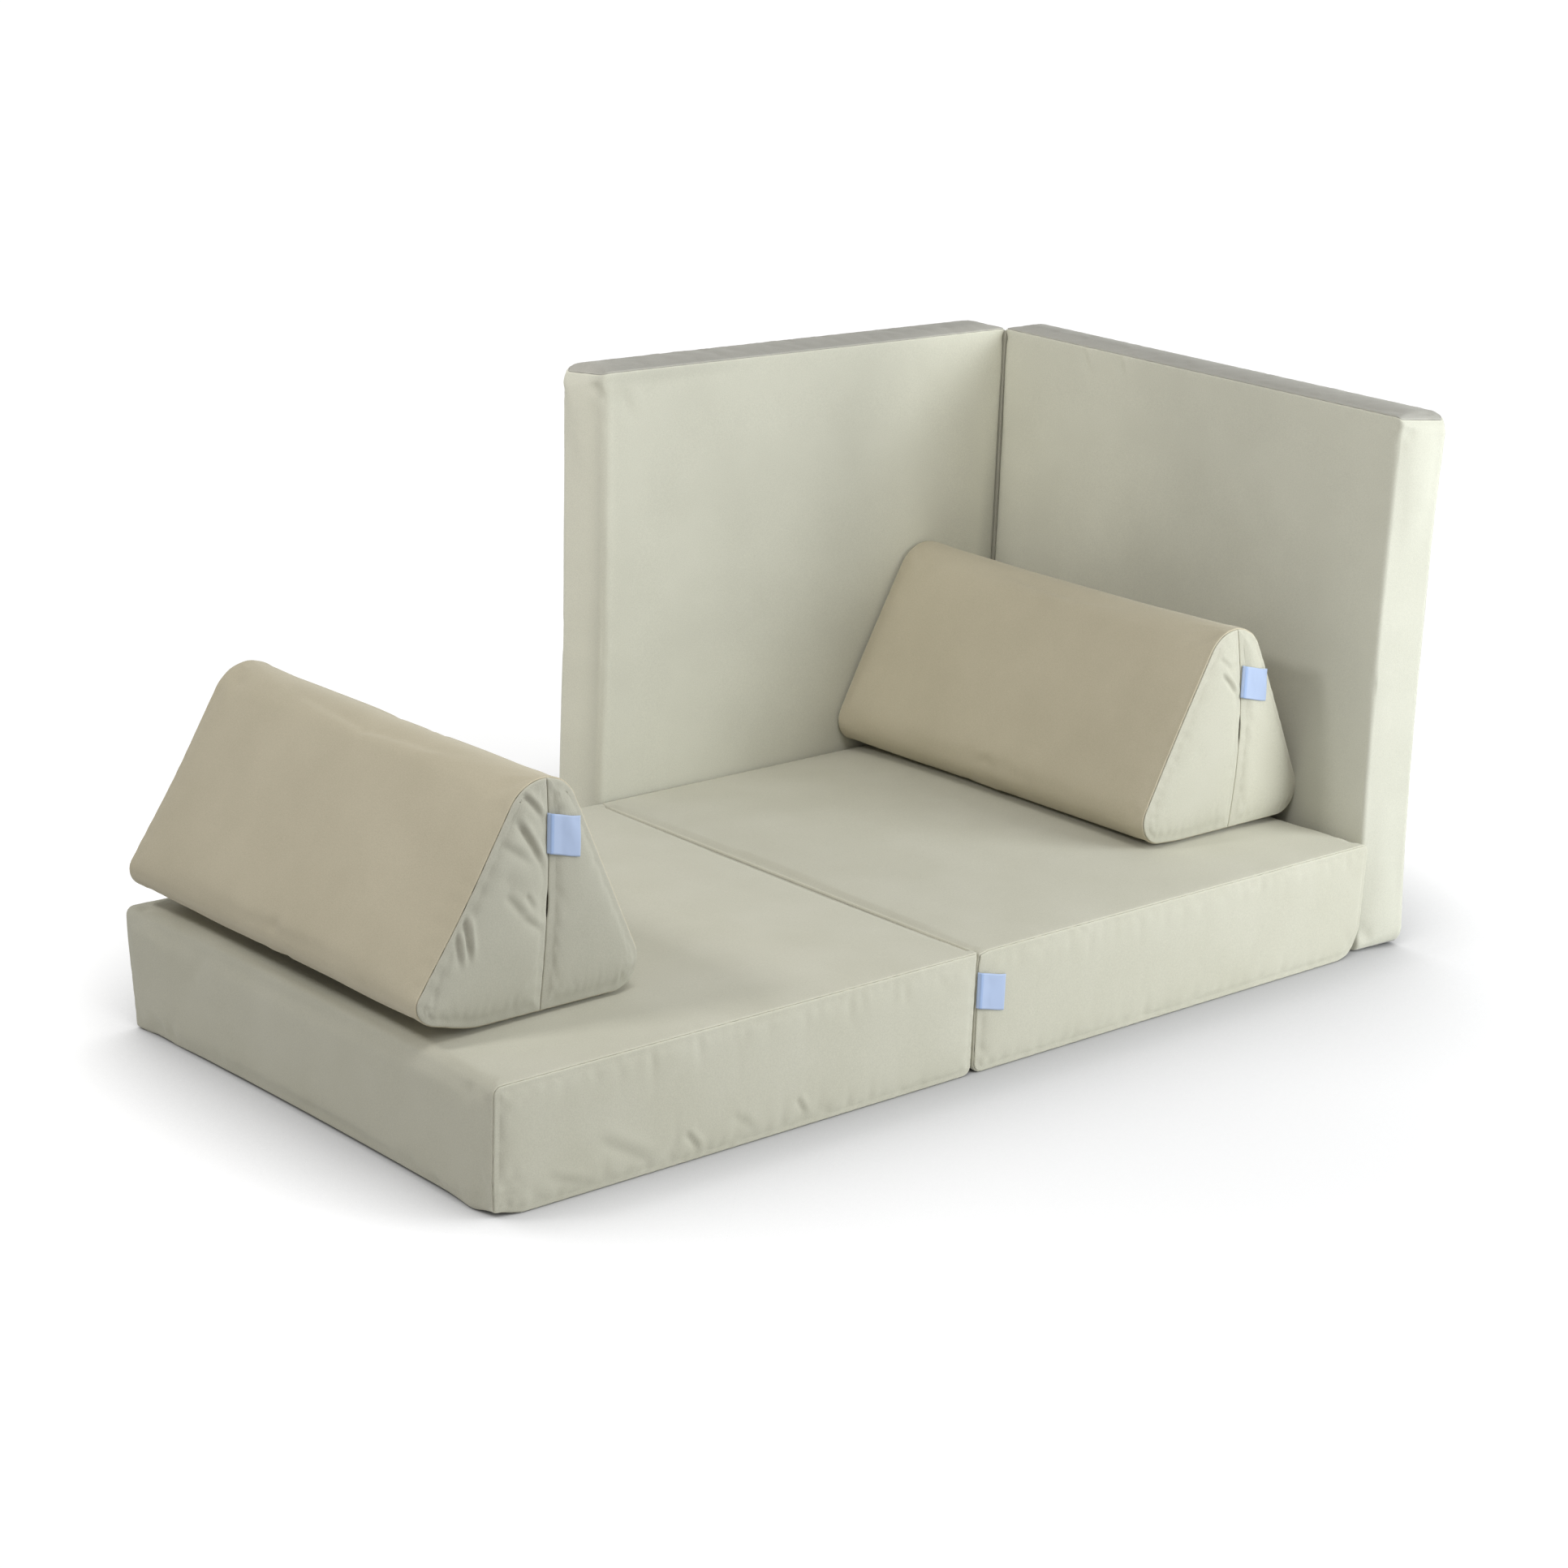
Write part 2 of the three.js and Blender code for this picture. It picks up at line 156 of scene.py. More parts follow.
def add_node(tree, kind, inputs=None, feeds=None, **settings):
    """Adds a node with its settings. Inputs gives each socket a value, another node's output, or a
    node that feeds it from its first output. The new node's first output can feed one socket."""
    made = tree.nodes.new(kind)
    for name, value in settings.items():
        setattr(made, name, value)
    for socket, value in (inputs or {}).items():
        if isinstance(value, bpy.types.Node):
            value = value.outputs[0]
        if isinstance(value, bpy.types.NodeSocket):
            tree.links.new(value, made.inputs[socket])
        else:
            made.inputs[socket].default_value = value
    if feeds:
        tree.links.new(made.outputs[0], feeds)
    return made


def new_material(name):
    """An empty node material, with its tree, the piece's own coordinates and its surface socket."""
    material = bpy.data.materials.new(name)
    material.use_nodes = True
    tree = material.node_tree
    tree.nodes.clear()
    surface = add_node(tree, "ShaderNodeOutputMaterial").inputs["Surface"]
    return material, tree, add_node(tree, "ShaderNodeTexCoord").outputs["Object"], surface


def short_pile_velvet(name, dark, pale):
    """Polyester velour with a short pile. It scatters light softly, glows at grazing angles and keeps the
    marks of every hand that brushed it.
    The colours are its tone with the pile brushed both ways, and a point attribute adds painted light and
    shade over them."""
    material, tree, place, surface = new_material(name)
    # Brushed patches of a few centimetres
    nap = add_node(tree, "ShaderNodeTexNoise", {
        "Vector": place, "Scale": 1 / (80 * MM), "Detail": 3.0, "Roughness": 0.5,
    })
    tone = add_node(tree, "ShaderNodeValToRGB", {"Fac": nap})
    for element, position, colour in zip(tone.color_ramp.elements, (0.3, 0.7), (dark, pale)):
        element.position, element.color = position, srgb(colour)
    # Pile ends: real tufts are 0.3 mm apart, drawn at 1.2 mm so that the render holds them
    pile = add_node(tree, "ShaderNodeTexNoise", {
        "Vector": place, "Scale": 1 / (1.2 * MM), "Detail": 2.0, "Roughness": 0.7,
    })
    grain = add_node(tree, "ShaderNodeMapRange", {
        "Value": pile, "From Min": 0.3, "From Max": 0.7, "To Min": 0.93, "To Max": 1.05,
    })
    # Painted light and shade from a point attribute: a painted highlight along the seams, and patches
    # painted lighter where light falls and darker where shadow and shade fall
    painted_light = add_node(tree, "ShaderNodeAttribute", attribute_name="pile").outputs["Fac"]
    painted_light_factor = add_node(tree, "ShaderNodeMath", {0: painted_light, 1: 1.0}, operation="ADD")
    amount = add_node(tree, "ShaderNodeMath", {0: grain, 1: painted_light_factor}, operation="MULTIPLY")
    grained = add_node(tree, "ShaderNodeVectorMath", {0: tone, "Scale": amount}, operation="SCALE")
    # Streaks where the pile lies over
    lay = add_node(tree, "ShaderNodeTexNoise", {"Vector": place, "Scale": 1 / (16 * MM), "Detail": 2.0})
    streaks = add_node(tree, "ShaderNodeMath", {0: lay, 1: 0.8}, operation="MULTIPLY")
    height = add_node(tree, "ShaderNodeMath", {0: pile, 1: streaks}, operation="ADD")
    bump = add_node(tree, "ShaderNodeBump", {"Height": height, "Strength": 0.35, "Distance": 0.5 * MM})
    add_node(tree, "ShaderNodeBsdfPrincipled", {
        "Base Color": grained, "Roughness": 0.92, "Specular IOR Level": 0.2, "Sheen Weight": 0.25,
        "Sheen Roughness": 0.4, "Sheen Tint": srgb("#f2f1ea"), "Normal": bump,
    }, surface)
    return material


def satin_ribbon():
    """Woven polyester satin: smooth and a little glossy across its threads, with a darker woven bar."""
    material, tree, _, surface = new_material("satin_ribbon")
    place = add_node(tree, "ShaderNodeUVMap", uv_map="ribbon")
    parts = add_node(tree, "ShaderNodeSeparateXYZ", {0: place})
    # Threads: real ones are 0.15 mm, drawn at 0.6 mm
    weft = add_node(tree, "ShaderNodeTexWave", {
        "Vector": place, "Scale": 20.0 / 0.6, "Distortion": 1.5, "Detail": 1.0,
    }, bands_direction="Y").outputs["Fac"]
    bar = add_node(tree, "ShaderNodeMath", {0: parts, 1: 0.12, 2: 0.055}, operation="COMPARE")
    colour = add_node(tree, "ShaderNodeMix", {
        "Factor": bar, 6: srgb("#a4b4d1"), 7: srgb("#93a8cc"),
    }, data_type="RGBA").outputs[2]
    bump = add_node(tree, "ShaderNodeBump", {"Height": weft, "Strength": 0.2, "Distance": 0.1 * MM})
    add_node(tree, "ShaderNodeBsdfPrincipled", {
        "Base Color": colour, "Roughness": 0.5, "Sheen Weight": 0.15, "Specular IOR Level": 0.35,
        "Normal": bump,
    }, surface)
    return material


def patterned_material(name, kind, pattern, output, colours, finish, bump=None, **settings):
    """A material in two colours, which follow one pattern in the piece's own coordinates. The bump
    follows it too and gives its strength and its height."""
    material, tree, place, surface = new_material(name)
    figure = add_node(tree, kind, {"Vector": place, **pattern}, **settings).outputs[output]
    low, high = (srgb(colour) for colour in colours)
    colour = add_node(tree, "ShaderNodeMix", {"Factor": figure, 6: low, 7: high}, data_type="RGBA")
    shader = {"Base Color": colour.outputs[2], **finish}
    if bump:
        relief = {"Height": figure, "Strength": bump[0], "Distance": bump[1]}
        shader["Normal"] = add_node(tree, "ShaderNodeBump", relief)
    return material, tree, place, add_node(tree, "ShaderNodeBsdfPrincipled", shader, surface), figure


def zip_tape_twill():
    """Woven polyester zip tape: dull, with fine slanted twill lines."""
    return patterned_material(
        "zip_tape_twill", "ShaderNodeTexWave", {"Scale": 1 / (20 * 0.9 * MM), "Distortion": 0.6},
        "Fac", ("#b3ac98", "#c8c1ae"), {"Roughness": 0.8, "Specular IOR Level": 0.3},
        (0.4, 0.2 * MM), bands_direction="DIAGONAL")[0]


def nylon_coil():
    """Drawn nylon 6 filament of the zip's coil: smooth, slightly waxy and see-through at its edges."""
    material, tree, _, shader, scuff = patterned_material(
        "nylon_coil", "ShaderNodeTexNoise", {"Scale": 1 / (5 * MM), "Detail": 2.0}, "Fac",
        ("#c6bfab", "#d6d0bd"), {"IOR": 1.53})
    add_node(tree, "ShaderNodeMapRange", {
        "Value": scuff, "To Min": 0.28, "To Max": 0.5,
    }, shader.inputs["Roughness"])
    return material


def lacquered_zinc():
    """Die-cast zinc slider under a thin beige lacquer, with a fine orange-peel surface."""
    material, tree, place, shader, _ = patterned_material(
        "lacquered_zinc", "ShaderNodeTexNoise", {"Scale": 1 / (3 * MM), "Detail": 3.0}, "Fac",
        ("#a19b8c", "#b4ae9e"),
        {"Metallic": 0.35, "Roughness": 0.38, "Coat Weight": 0.3, "Coat Roughness": 0.2})
    peel = add_node(tree, "ShaderNodeTexNoise", {"Vector": place, "Scale": 1 / (0.7 * MM), "Detail": 2.0})
    add_node(tree, "ShaderNodeBump", {
        "Height": peel, "Strength": 0.15, "Distance": 0.05 * MM,
    }, shader.inputs["Normal"])
    return material


def polyester_thread():
    """Spun polyester sewing thread in the velvet's colour: dull, with a fine twist."""
    return patterned_material(
        "polyester_thread", "ShaderNodeTexWave", {"Scale": 1 / (20 * 0.5 * MM), "Distortion": 1.0},
        "Fac", ("#a9a28d", "#c9c3af"), {"Roughness": 0.75, "Sheen Weight": 0.2},
        bands_direction="DIAGONAL")[0]


def open_cell_foam():
    """Cut polyurethane foam: matt cream with open cells a millimetre or two across."""
    return patterned_material(
        "open_cell_foam", "ShaderNodeTexVoronoi", {"Scale": 1 / (2 * MM)}, "Distance",
        ("#d9cda9", "#f1e8cd"), {"Roughness": 1.0, "Specular IOR Level": 0.1}, (0.6, 0.8 * MM))[0]


def swell(share):
    """Rise of a stuffed face across its width: nothing at its two edges, 1 over most of its middle."""
    return 1 - (2 * share - 1) ** 4


def bow(share):
    """Pull of a tight seam on a side: nothing at the corners and 1 halfway between them."""
    return 1 - (2 * share - 1) ** 2


def ease(share):
    """Smooth step from 0 to 1."""
    share = np.clip(share, 0, 1)
    return share * share * (3 - 2 * share)


def running(points):
    """Length along a line of points at each of them."""
    return np.concatenate([[0], np.cumsum(np.linalg.norm(np.diff(points, axis=0), axis=1))])


def graded(length, first, last, most, steps=None, marks=()):
    """Places from 0 to length whose steps grow from first, shrink to last and never pass most. Near
    each mark they are fine."""
    run = np.linspace(0, length, 6000)
    step = np.minimum(most, np.minimum(first + STEP_GROWTH * run, last + STEP_GROWTH * (length - run)))
    for mark in marks:
        step = np.minimum(step, MARK_STEP + STEP_GROWTH * 2 * np.abs(run - mark))
    count = np.concatenate([[0], np.cumsum(np.diff(run) * 2 / (step[1:] + step[:-1]))])
    steps = steps or math.ceil(count[-1])
    return np.interp(np.linspace(0, count[-1], steps + 1), count, run)


def rolled_edge():
    """Rings of velvet that rolls into a seam, from its hem outwards: how far each lies from the sharp
    edge, and how deep."""
    turn = np.linspace(0, 1, 5)
    away = SEAM_ROLL * (2 - np.cos(turn * math.pi / 2)) + SEAM_GAP / 2 * (1 - turn)
    depth = SEAM_ROLL * (1 - np.sin(turn * math.pi / 2))
    return np.append(HEM_DEPTH + SEAM_GAP / 2, away), np.append(HEM_DEPTH, depth)


def smooth_lookup(field, rows, columns, closed):
    """Values between the points of a grid, by cubic weights. Its columns join up where closed."""
    def weights(t):
        square, cube = t * t, t**3
        return [(2 * square - t - cube) / 2, (2 - 5 * square + 3 * cube) / 2,
                (t + 4 * square - 3 * cube) / 2, (cube - square) / 2]
    row, column = np.floor(rows).astype(int), np.floor(columns).astype(int)
    total = np.zeros(np.broadcast(rows, columns).shape)
    for i, down in enumerate(weights(rows - row)):
        for j, across in enumerate(weights(columns - column)):
            r = np.clip(row + i - 1, 0, field.shape[0] - 1)
            c = column + j - 1
            c = c % field.shape[1] if closed else np.clip(c, 0, field.shape[1] - 1)
            total += down * across * field[r, c]
    return total


def waves(points, seed, longest, count=14):
    """Gentle unevenness in space: a sum of slanted waves between a third of the longest and the longest."""
    random = np.random.default_rng(seed)
    total = np.zeros(len(points))
    for _ in range(count):
        direction = random.normal(size=3)
        direction /= np.linalg.norm(direction)
        length = longest * random.uniform(0.33, 1)
        total += np.sin(points @ direction * 2 * math.pi / length + random.uniform(0, 2 * math.pi))
    return total / math.sqrt(count / 2)


class Outline:
    """Closed outline in x and z with rounded corners, counterclockwise, read by the length along it."""

    def __init__(self, corners, radii):
        self.corners, self.radii = np.array(corners, float), np.array(radii, float)
        points, self.normals = self.layer(0.0)
        self.layers = {0.0: points}
        self.lengths = running(points)
        self.whole = self.lengths[-1]
        firsts = np.arange(len(corners)) * (ARC_STEPS + 1)
        self.arcs = [(self.lengths[i], self.lengths[i + ARC_STEPS]) for i in firsts]

    def layer(self, inset):
        """Points and normals of the outline moved inwards. Its corners keep a small radius."""
        points, normals = [], []
        for corner, before, after, radius in zip(
            self.corners, np.roll(self.corners, 1, 0), np.roll(self.corners, -1, 0), self.radii
        ):
            u = (before - corner) / np.linalg.norm(before - corner)
            v = (after - corner) / np.linalg.norm(after - corner)
            half = math.acos(np.clip(u @ v, -1, 1)) / 2
            radius = max(radius - inset, MM)
            centre = corner + (u + v) / np.linalg.norm(u + v) * (radius + inset) / math.sin(half)
            turn = math.atan2(u[0], -u[1]) + np.linspace(0, math.pi - 2 * half, ARC_STEPS + 1)
            normal = np.stack([np.cos(turn), np.sin(turn)], 1)
            points.append(centre + radius * normal)
            normals.append(normal)
        return [np.concatenate([*parts, parts[0][:1]]) for parts in (points, normals)]

    def at(self, lengths, inset=0.0):
        """Points and outward normals at those lengths along the outline."""
        key = round(float(inset), 7)
        if key not in self.layers:
            self.layers[key] = self.layer(key)[0]
        lengths = np.mod(lengths, self.whole)
        return [
            np.stack([np.interp(lengths, self.lengths, values[:, i]) for i in (0, 1)], 1)
            for values in (self.layers[key], self.normals)
        ]

    def straightness(self, lengths):
        """0 on the corners' arcs, and the swell of a stuffed face along each straight side."""
        lengths = np.mod(lengths, self.whole)
        total = np.zeros(len(lengths))
        for (_, start), (end, _) in zip(self.arcs, [*self.arcs[1:], (self.whole, 0)]):
            share = (lengths - start) / (end - start)
            total += np.where((share > 0) & (share < 1), swell(np.clip(share, 0, 1)), 0)
        return total


def vertex_normals(points, faces):
    """Unit normals of a mesh of quads, weighted by area."""
    corners = points[faces]
    across = np.cross(corners[:, 2] - corners[:, 0], corners[:, 3] - corners[:, 1])
    total = np.zeros_like(points)
    for i in range(4):
        np.add.at(total, faces[:, i], across)
    return total / np.maximum(np.linalg.norm(total, axis=1, keepdims=True), 1e-12)


def strip_faces(rows, columns, joined_rows=False):
    """Quads between rings of one point count. The last ring joins the first where the rows are joined."""
    i, j = np.meshgrid(np.arange(rows if joined_rows else rows - 1), np.arange(columns), indexing="ij")
    k, down = (j + 1) % columns, (i + 1) % rows
    quads = [i * columns + j, i * columns + k, down * columns + k, down * columns + j]
    return np.stack(quads, -1).reshape(-1, 4)


def patch_faces(ids):
    """Quads of a grid of point numbers."""
    return np.stack([ids[:-1, :-1], ids[1:, :-1], ids[1:, 1:], ids[:-1, 1:]], -1).reshape(-1, 4)


def linked(name, mesh, materials):
    """An object of a mesh, with its materials."""
    for material in materials:
        mesh.materials.append(material)
    made = bpy.data.objects.new(name, mesh)
    scene.collection.objects.link(made)
    return made


def mesh_object(name, points, faces, materials, pile=None):
    """A smooth object at the origin from points in the row frame, with its faces outwards."""
    mesh = bpy.data.meshes.new(name)
    mesh.from_pydata(np.asarray(points).tolist(), [], [tuple(int(i) for i in f) for f in faces])
    mesh.update()
    work = bmesh.new()
    work.from_mesh(mesh)
    if work.calc_volume(signed=True) < 0:
        bmesh.ops.reverse_faces(work, faces=work.faces)
    work.to_mesh(mesh)
    work.free()
    mesh.polygons.foreach_set("use_smooth", [True] * len(mesh.polygons))
    if pile is not None:
        mesh.attributes.new("pile", "FLOAT", "POINT").data.foreach_set("value", pile)
    return linked(name, mesh, materials)


def walled(points, faces, wall):
    """A closed body from an open sheet: the sheet, its copy one wall deeper, and a rim between them."""
    normals = vertex_normals(points, faces)
    count = len(points)
    edges = {(int(a), int(b)) for face in faces for a, b in zip(face, np.roll(face, -1))}
    rim = [(b, a, a + count, b + count) for a, b in edges if (b, a) not in edges]
    both = [*faces.tolist(), *(faces[:, ::-1] + count).tolist(), *sorted(rim)]
    return np.concatenate([points, points - normals * wall]), both


class Cushion:
    """A stuffed module in its own frame: x across its section, y along its stations and z up."""

    def __init__(
        self, name, axes, width, outline, cuts, shape, seed, caps,
        crown=0.0, near_marks=(), station_marks=(), seam=None,
    ):
        self.name, self.width, self.outline, self.cuts = name, width, outline, cuts
        self.axes, self.shape, self.seed, self.crown = np.array(axes, float), shape, seed, crown
        self.caps, self.near_marks, self.station_marks, self.seam = caps, near_marks, station_marks, seam
        self.creases, self.hollow, self.slack, self.velvet = [], None, None, VELVET
        self.painted_light_patches = []
        self.spans = [b - a for a, b in zip(cuts, [*cuts[1:], cuts[0] + outline.whole])]
        random = np.random.default_rng(seed)
        self.pucker_waves = [
            (random.uniform(13, 26) * MM, random.uniform(0, 2 * math.pi)) for _ in range(5)
        ]

    def to_row(self, local):
        """Points of the cushion's own frame in the row frame."""
        return local @ self.axes[:3] + self.axes[3]

    def section(self, lengths, inset, y):
        """Points of the cover's section at one station, with the form that the stuffing gives it."""
        points, normals = self.outline.at(lengths, inset)
        rise = self.crown * self.outline.straightness(lengths) * swell(np.clip(y / self.width, 0, 1))
        flat = points + normals * rise[:, None]
        return self.shape(flat[:, 0], np.full(len(flat), float(y)), flat[:, 1])

    def sides(self, edge, most):
        """Places along the four sides: low, far, high and near. Opposite sides have as many."""
        low_span, far_span, high_span, near_span = self.spans
        if self.seam is None:
            low = graded(low_span, edge, edge, most)
            high = graded(high_span, edge, edge, most, steps=len(low) - 1)
        else:
            left, right = self.seam[0] * low_span, (1 - self.seam[0]) * low_span
            one = graded(left, edge, SEAM_STEP, most)
            two = graded(right, SEAM_STEP, edge, most)
            low = np.concatenate([one, left + two[1:]])
            right, left = (1 - self.seam[1]) * high_span, self.seam[1] * high_span
            three = graded(right, edge, SEAM_STEP, most, steps=len(two) - 1)
            four = graded(left, SEAM_STEP, edge, most, steps=len(one) - 1)
            high = np.concatenate([three, right + four[1:]])
            self.seam_column = len(one) - 1
        near = graded(near_span, edge, edge, most, marks=self.near_marks)
        far = graded(far_span, edge, edge, most, steps=len(near) - 1)
        return low, far, high, near

    def ring(self, sides):
        """Lengths round the section, and each one's place as the number of its side and its share."""
        lengths = [cut + places[:-1] for cut, places in zip(self.cuts, sides)]
        shares = [side + places[:-1] / places[-1] for side, places in enumerate(sides)]
        return np.concatenate(lengths), np.concatenate(shares)

    def block(self, spacing, inset):
        """Closed mesh with even steps and sharp ends: its points, faces, rows of rings and end grids."""
        columns, rows = (max(2, round(self.spans[i] / spacing)) for i in (0, 1))
        counts = (columns, rows, columns, rows)
        sides = [np.linspace(0, span, n + 1) for span, n in zip(self.spans, counts)]
        lengths, _ = self.ring(sides)
        count = len(lengths)
        stations = np.linspace(inset, self.width - inset, max(3, round(self.width / spacing) + 1))
        points = [self.section(lengths, inset, y) for y in stations]
        faces = [strip_faces(len(stations), count)[:, ::-1]]
        flat, _ = self.outline.at(lengths, inset)
        total, grids = len(stations) * count, []
        for end, y in enumerate((stations[0], stations[-1])):
            ids = border_ids(columns, rows, end * (len(stations) - 1) * count, total)
            grid = coons(flat, columns, rows)[1:-1, 1:-1].reshape(-1, 2)
            points.append(self.shape(grid[:, 0], np.full(len(grid), y), grid[:, 1]))
            faces.append(patch_faces(ids) if end == 0 else patch_faces(ids)[:, ::-1])
            total += len(grid)
            grids.append(ids)
        return np.concatenate(points), np.concatenate(faces), (len(stations), count, columns, rows), grids

    def settle(self, pressure=2.5, growth=0.006, frames=20):
        """Lets a slightly loose cover settle on the block by cloth simulation, with its seams held."""
        points, faces, (rings, count, columns, rows), grids = self.block(CLOTH_STEP, 0.0)
        normals = vertex_normals(points, faces)
        cover = mesh_object("loose_cover", points, faces, [])
        group = cover.vertex_groups.new(name="seams")
        group.add([*range(count), *range((rings - 1) * count, rings * count)], 1.0, "REPLACE")
        cloth = cover.modifiers.new("loose_cover", "CLOTH")
        cloth.settings.quality = 5
        cloth.settings.use_pressure = True
        cloth.settings.uniform_pressure_force = pressure
        cloth.settings.effector_weights.gravity = 0
        cloth.settings.vertex_group_mass = "seams"
        cloth.settings.shrink_min = -growth
        cloth.point_cache.frame_end = frames
        for number in range(1, frames + 1):
            scene.frame_set(number)
        settled = cover.evaluated_get(bpy.context.evaluated_depsgraph_get())
        moved = np.empty(len(points) * 3)
        settled.data.vertices.foreach_get("co", moved)
        scene.frame_set(1)
        bpy.data.objects.remove(cover)
        out = ((moved.reshape(-1, 3) - points) * normals).sum(1)
        ends = [out[ids] for ids in grids]
        self.slack = (out[: rings * count].reshape(rings, count), ends, columns, rows)

    def slack_on_cover(self, y, shares):
        """Settled movement at stations and places round the section."""
        if self.slack is None:
            return np.zeros(len(y))
        field, _, columns, rows = self.slack
        side = np.minimum(shares.astype(int), 3)
        counts = np.array([columns, rows, columns, rows])
        starts = np.array([0, columns, columns + rows, 2 * columns + rows])
        column = starts[side] + (shares - side) * counts[side]
        return smooth_lookup(field, y / self.width * (len(field) - 1), column, True)

    def slack_on_end(self, end, p, q):
        """Settled movement at the places of an end's grid."""
        if self.slack is None:
            return np.zeros(len(p))
        _, ends, columns, rows = self.slack
        return smooth_lookup(ends[end], p * columns, q * rows, False)

    def pile(self, row, seam_distance):
        """Painted light and shade on the velvet: above 0 where it is painted lighter, as the painted
        highlight over a seam, and below 0 where it is painted darker.
        """
        total = SEAM_PAINTED_HIGHLIGHT * ease(1 - seam_distance / SEAM_HIGHLIGHT_REACH)
        for centre, reach, amount in self.painted_light_patches:
            distance = np.linalg.norm((row / MM - np.array(centre)) / np.array(reach), axis=1)
            total += amount * ease(1.6 * (1 - distance))
        return total

    def pucker(self, lengths):
        """Unevenness along a seam, from gathers of a centimetre or two."""
        return sum(np.sin(lengths * 2 * math.pi / wave + start) for wave, start in self.pucker_waves) / 2

    def relieved(self, local, normals, lengths, seam_distance, slack):
        """Moves points of a face along their normals: stuffing, waves, seam puckers and creases."""
        row, out = self.to_row(local), normals @ self.axes[:3]
        away = ease((seam_distance - SEAM_ROLL) / SWELL_REACH)
        amount = waves(row, self.seed, WAVE_LENGTH) * WAVE_HEIGHT * away + slack * away
        near_seam = np.clip(seam_distance / PUCKER_REACH, 0, None)
        amount += PUCKER_HEIGHT * self.pucker(lengths) * near_seam * np.exp(1 - near_seam) * 1.6
        # A soft limit where a face swells towards its neighbour, and another where it sinks
        limit = (np.where(normals > 0, self.caps[1], self.caps[0]) * normals**2).sum(1) * MM
        risen = limit * np.tanh(amount / np.maximum(limit, 1e-6))
        amount = np.where(amount > 0, risen, SINK_LIMIT * np.tanh(amount / SINK_LIMIT))
        for crease in self.creases:
            amount += crease_depth(row, out, *crease) * ease((seam_distance - SEAM_ROLL) / CREASE_MARGIN)
        if self.hollow is not None:
            amount -= self.hollow(local)
        return local + normals * amount[:, None]


def crease_depth(points, normals, start, end, width, depth, ridge=0.6):
    """Valley between two places of a face, with a soft ridge on its left side. Millimetres."""
    start, end = np.array(start) * MM, np.array(end) * MM
    width, depth = width * MM, depth * MM
    run = end - start
    length = np.linalg.norm(run)
    share = (points - start) @ run / length**2
    beside = points - start - np.clip(share, 0, 1)[:, None] * run
    across = (beside * np.cross(normals, run / length)).sum(1)
    distance = np.linalg.norm(beside, axis=1)
    fade = ease(share / 0.3 + 0.4) * ease((1 - share) / 0.5 + 0.15)
    valley = np.exp(-((distance / width) ** 1.5))
    bank = np.exp(-(((across - 1.7 * width) / (1.1 * width)) ** 2)) * (distance < 6 * width)
    return depth * fade * (ridge * bank - valley)


def border_ids(columns, rows, first, inner_first):
    """Point numbers of a grid whose border is a ring that starts at first."""
    count = 2 * (columns + rows)
    ring = first + np.arange(count)
    ids = np.zeros((columns + 1, rows + 1), int)
    ids[:, 0] = ring[: columns + 1]
    ids[-1, :] = ring[columns : columns + rows + 1]
    ids[::-1, -1] = ring[columns + rows : 2 * columns + rows + 1]
    ids[0, ::-1] = np.append(ring[2 * columns + rows :], ring[0])
    ids[1:-1, 1:-1] = inner_first + np.arange((columns - 1) * (rows - 1)).reshape(columns - 1, rows - 1)
    return ids


def coons(ring, columns, rows):
    """Grid of points inside a ring in one plane: its four sides blended into its middle."""
    low, far = ring[: columns + 1], ring[columns : columns + rows + 1]
    high = ring[columns + rows : 2 * columns + rows + 1][::-1]
    near = np.concatenate([ring[2 * columns + rows :], ring[:1]])[::-1]

    def shares(one, other):
        runs = running(one), running(other)
        return (runs[0] / runs[0][-1] + runs[1] / runs[1][-1]) / 2

    p, q = shares(low, high)[:, None, None], shares(near, far)[None, :, None]
    grid = (1 - q) * low[:, None] + q * high[:, None] + (1 - p) * near[None] + p * far[None]
    grid = grid - (1 - p) * (1 - q) * low[0] - p * (1 - q) * low[-1]
    return grid - (1 - p) * q * high[0] - p * q * high[-1]


def sewn_cover(cushion):
    """Velvet wrapped round the block in one strip. Both mouths roll into their seams, and a lining
    closes the strip to a body."""
    sides = cushion.sides(CORNER_STEP, FINE_STEP)
    lengths, shares = cushion.ring(sides)
    away, depth = rolled_edge()
    marks = np.array(cushion.station_marks) - 2 * SEAM_ROLL
    middle = graded(cushion.width - 4 * SEAM_ROLL, SEAM_STEP, SEAM_STEP, FINE_STEP, marks=marks)
    middle = middle[1:-1] + 2 * SEAM_ROLL
    stations = np.concatenate([away, middle, cushion.width - away[::-1]])
    insets = np.concatenate([depth, np.zeros(len(middle)), depth[::-1]])
    count = len(lengths)
    points = np.concatenate([cushion.section(lengths, i, y) for y, i in zip(stations, insets)])
    normals = vertex_normals(points, strip_faces(len(stations), count)[:, ::-1])
    along, rounds = np.repeat(stations, count), np.tile(lengths, len(stations))
    seam_distance = np.minimum(along, cushion.width - along)
    slack = cushion.slack_on_cover(along, np.tile(shares, len(stations)))
    points = cushion.relieved(points, normals, rounds, seam_distance, slack)
    steps = round(cushion.width / LINING_RUN)
    lining = np.linspace(cushion.width - LINING_START, LINING_START, steps)
    points = np.concatenate([points, *(cushion.section(lengths, LINING_INSET, y) for y in lining)])
    faces = strip_faces(len(stations) + steps, count, joined_rows=True)
    row = cushion.to_row(points)
    seam_distance = np.concatenate([seam_distance, np.full(steps * count, cushion.width)])
    pile = cushion.pile(row, seam_distance)
    return mesh_object(cushion.name + "_velvet_wrap", row, faces, [cushion.velvet], pile=pile)


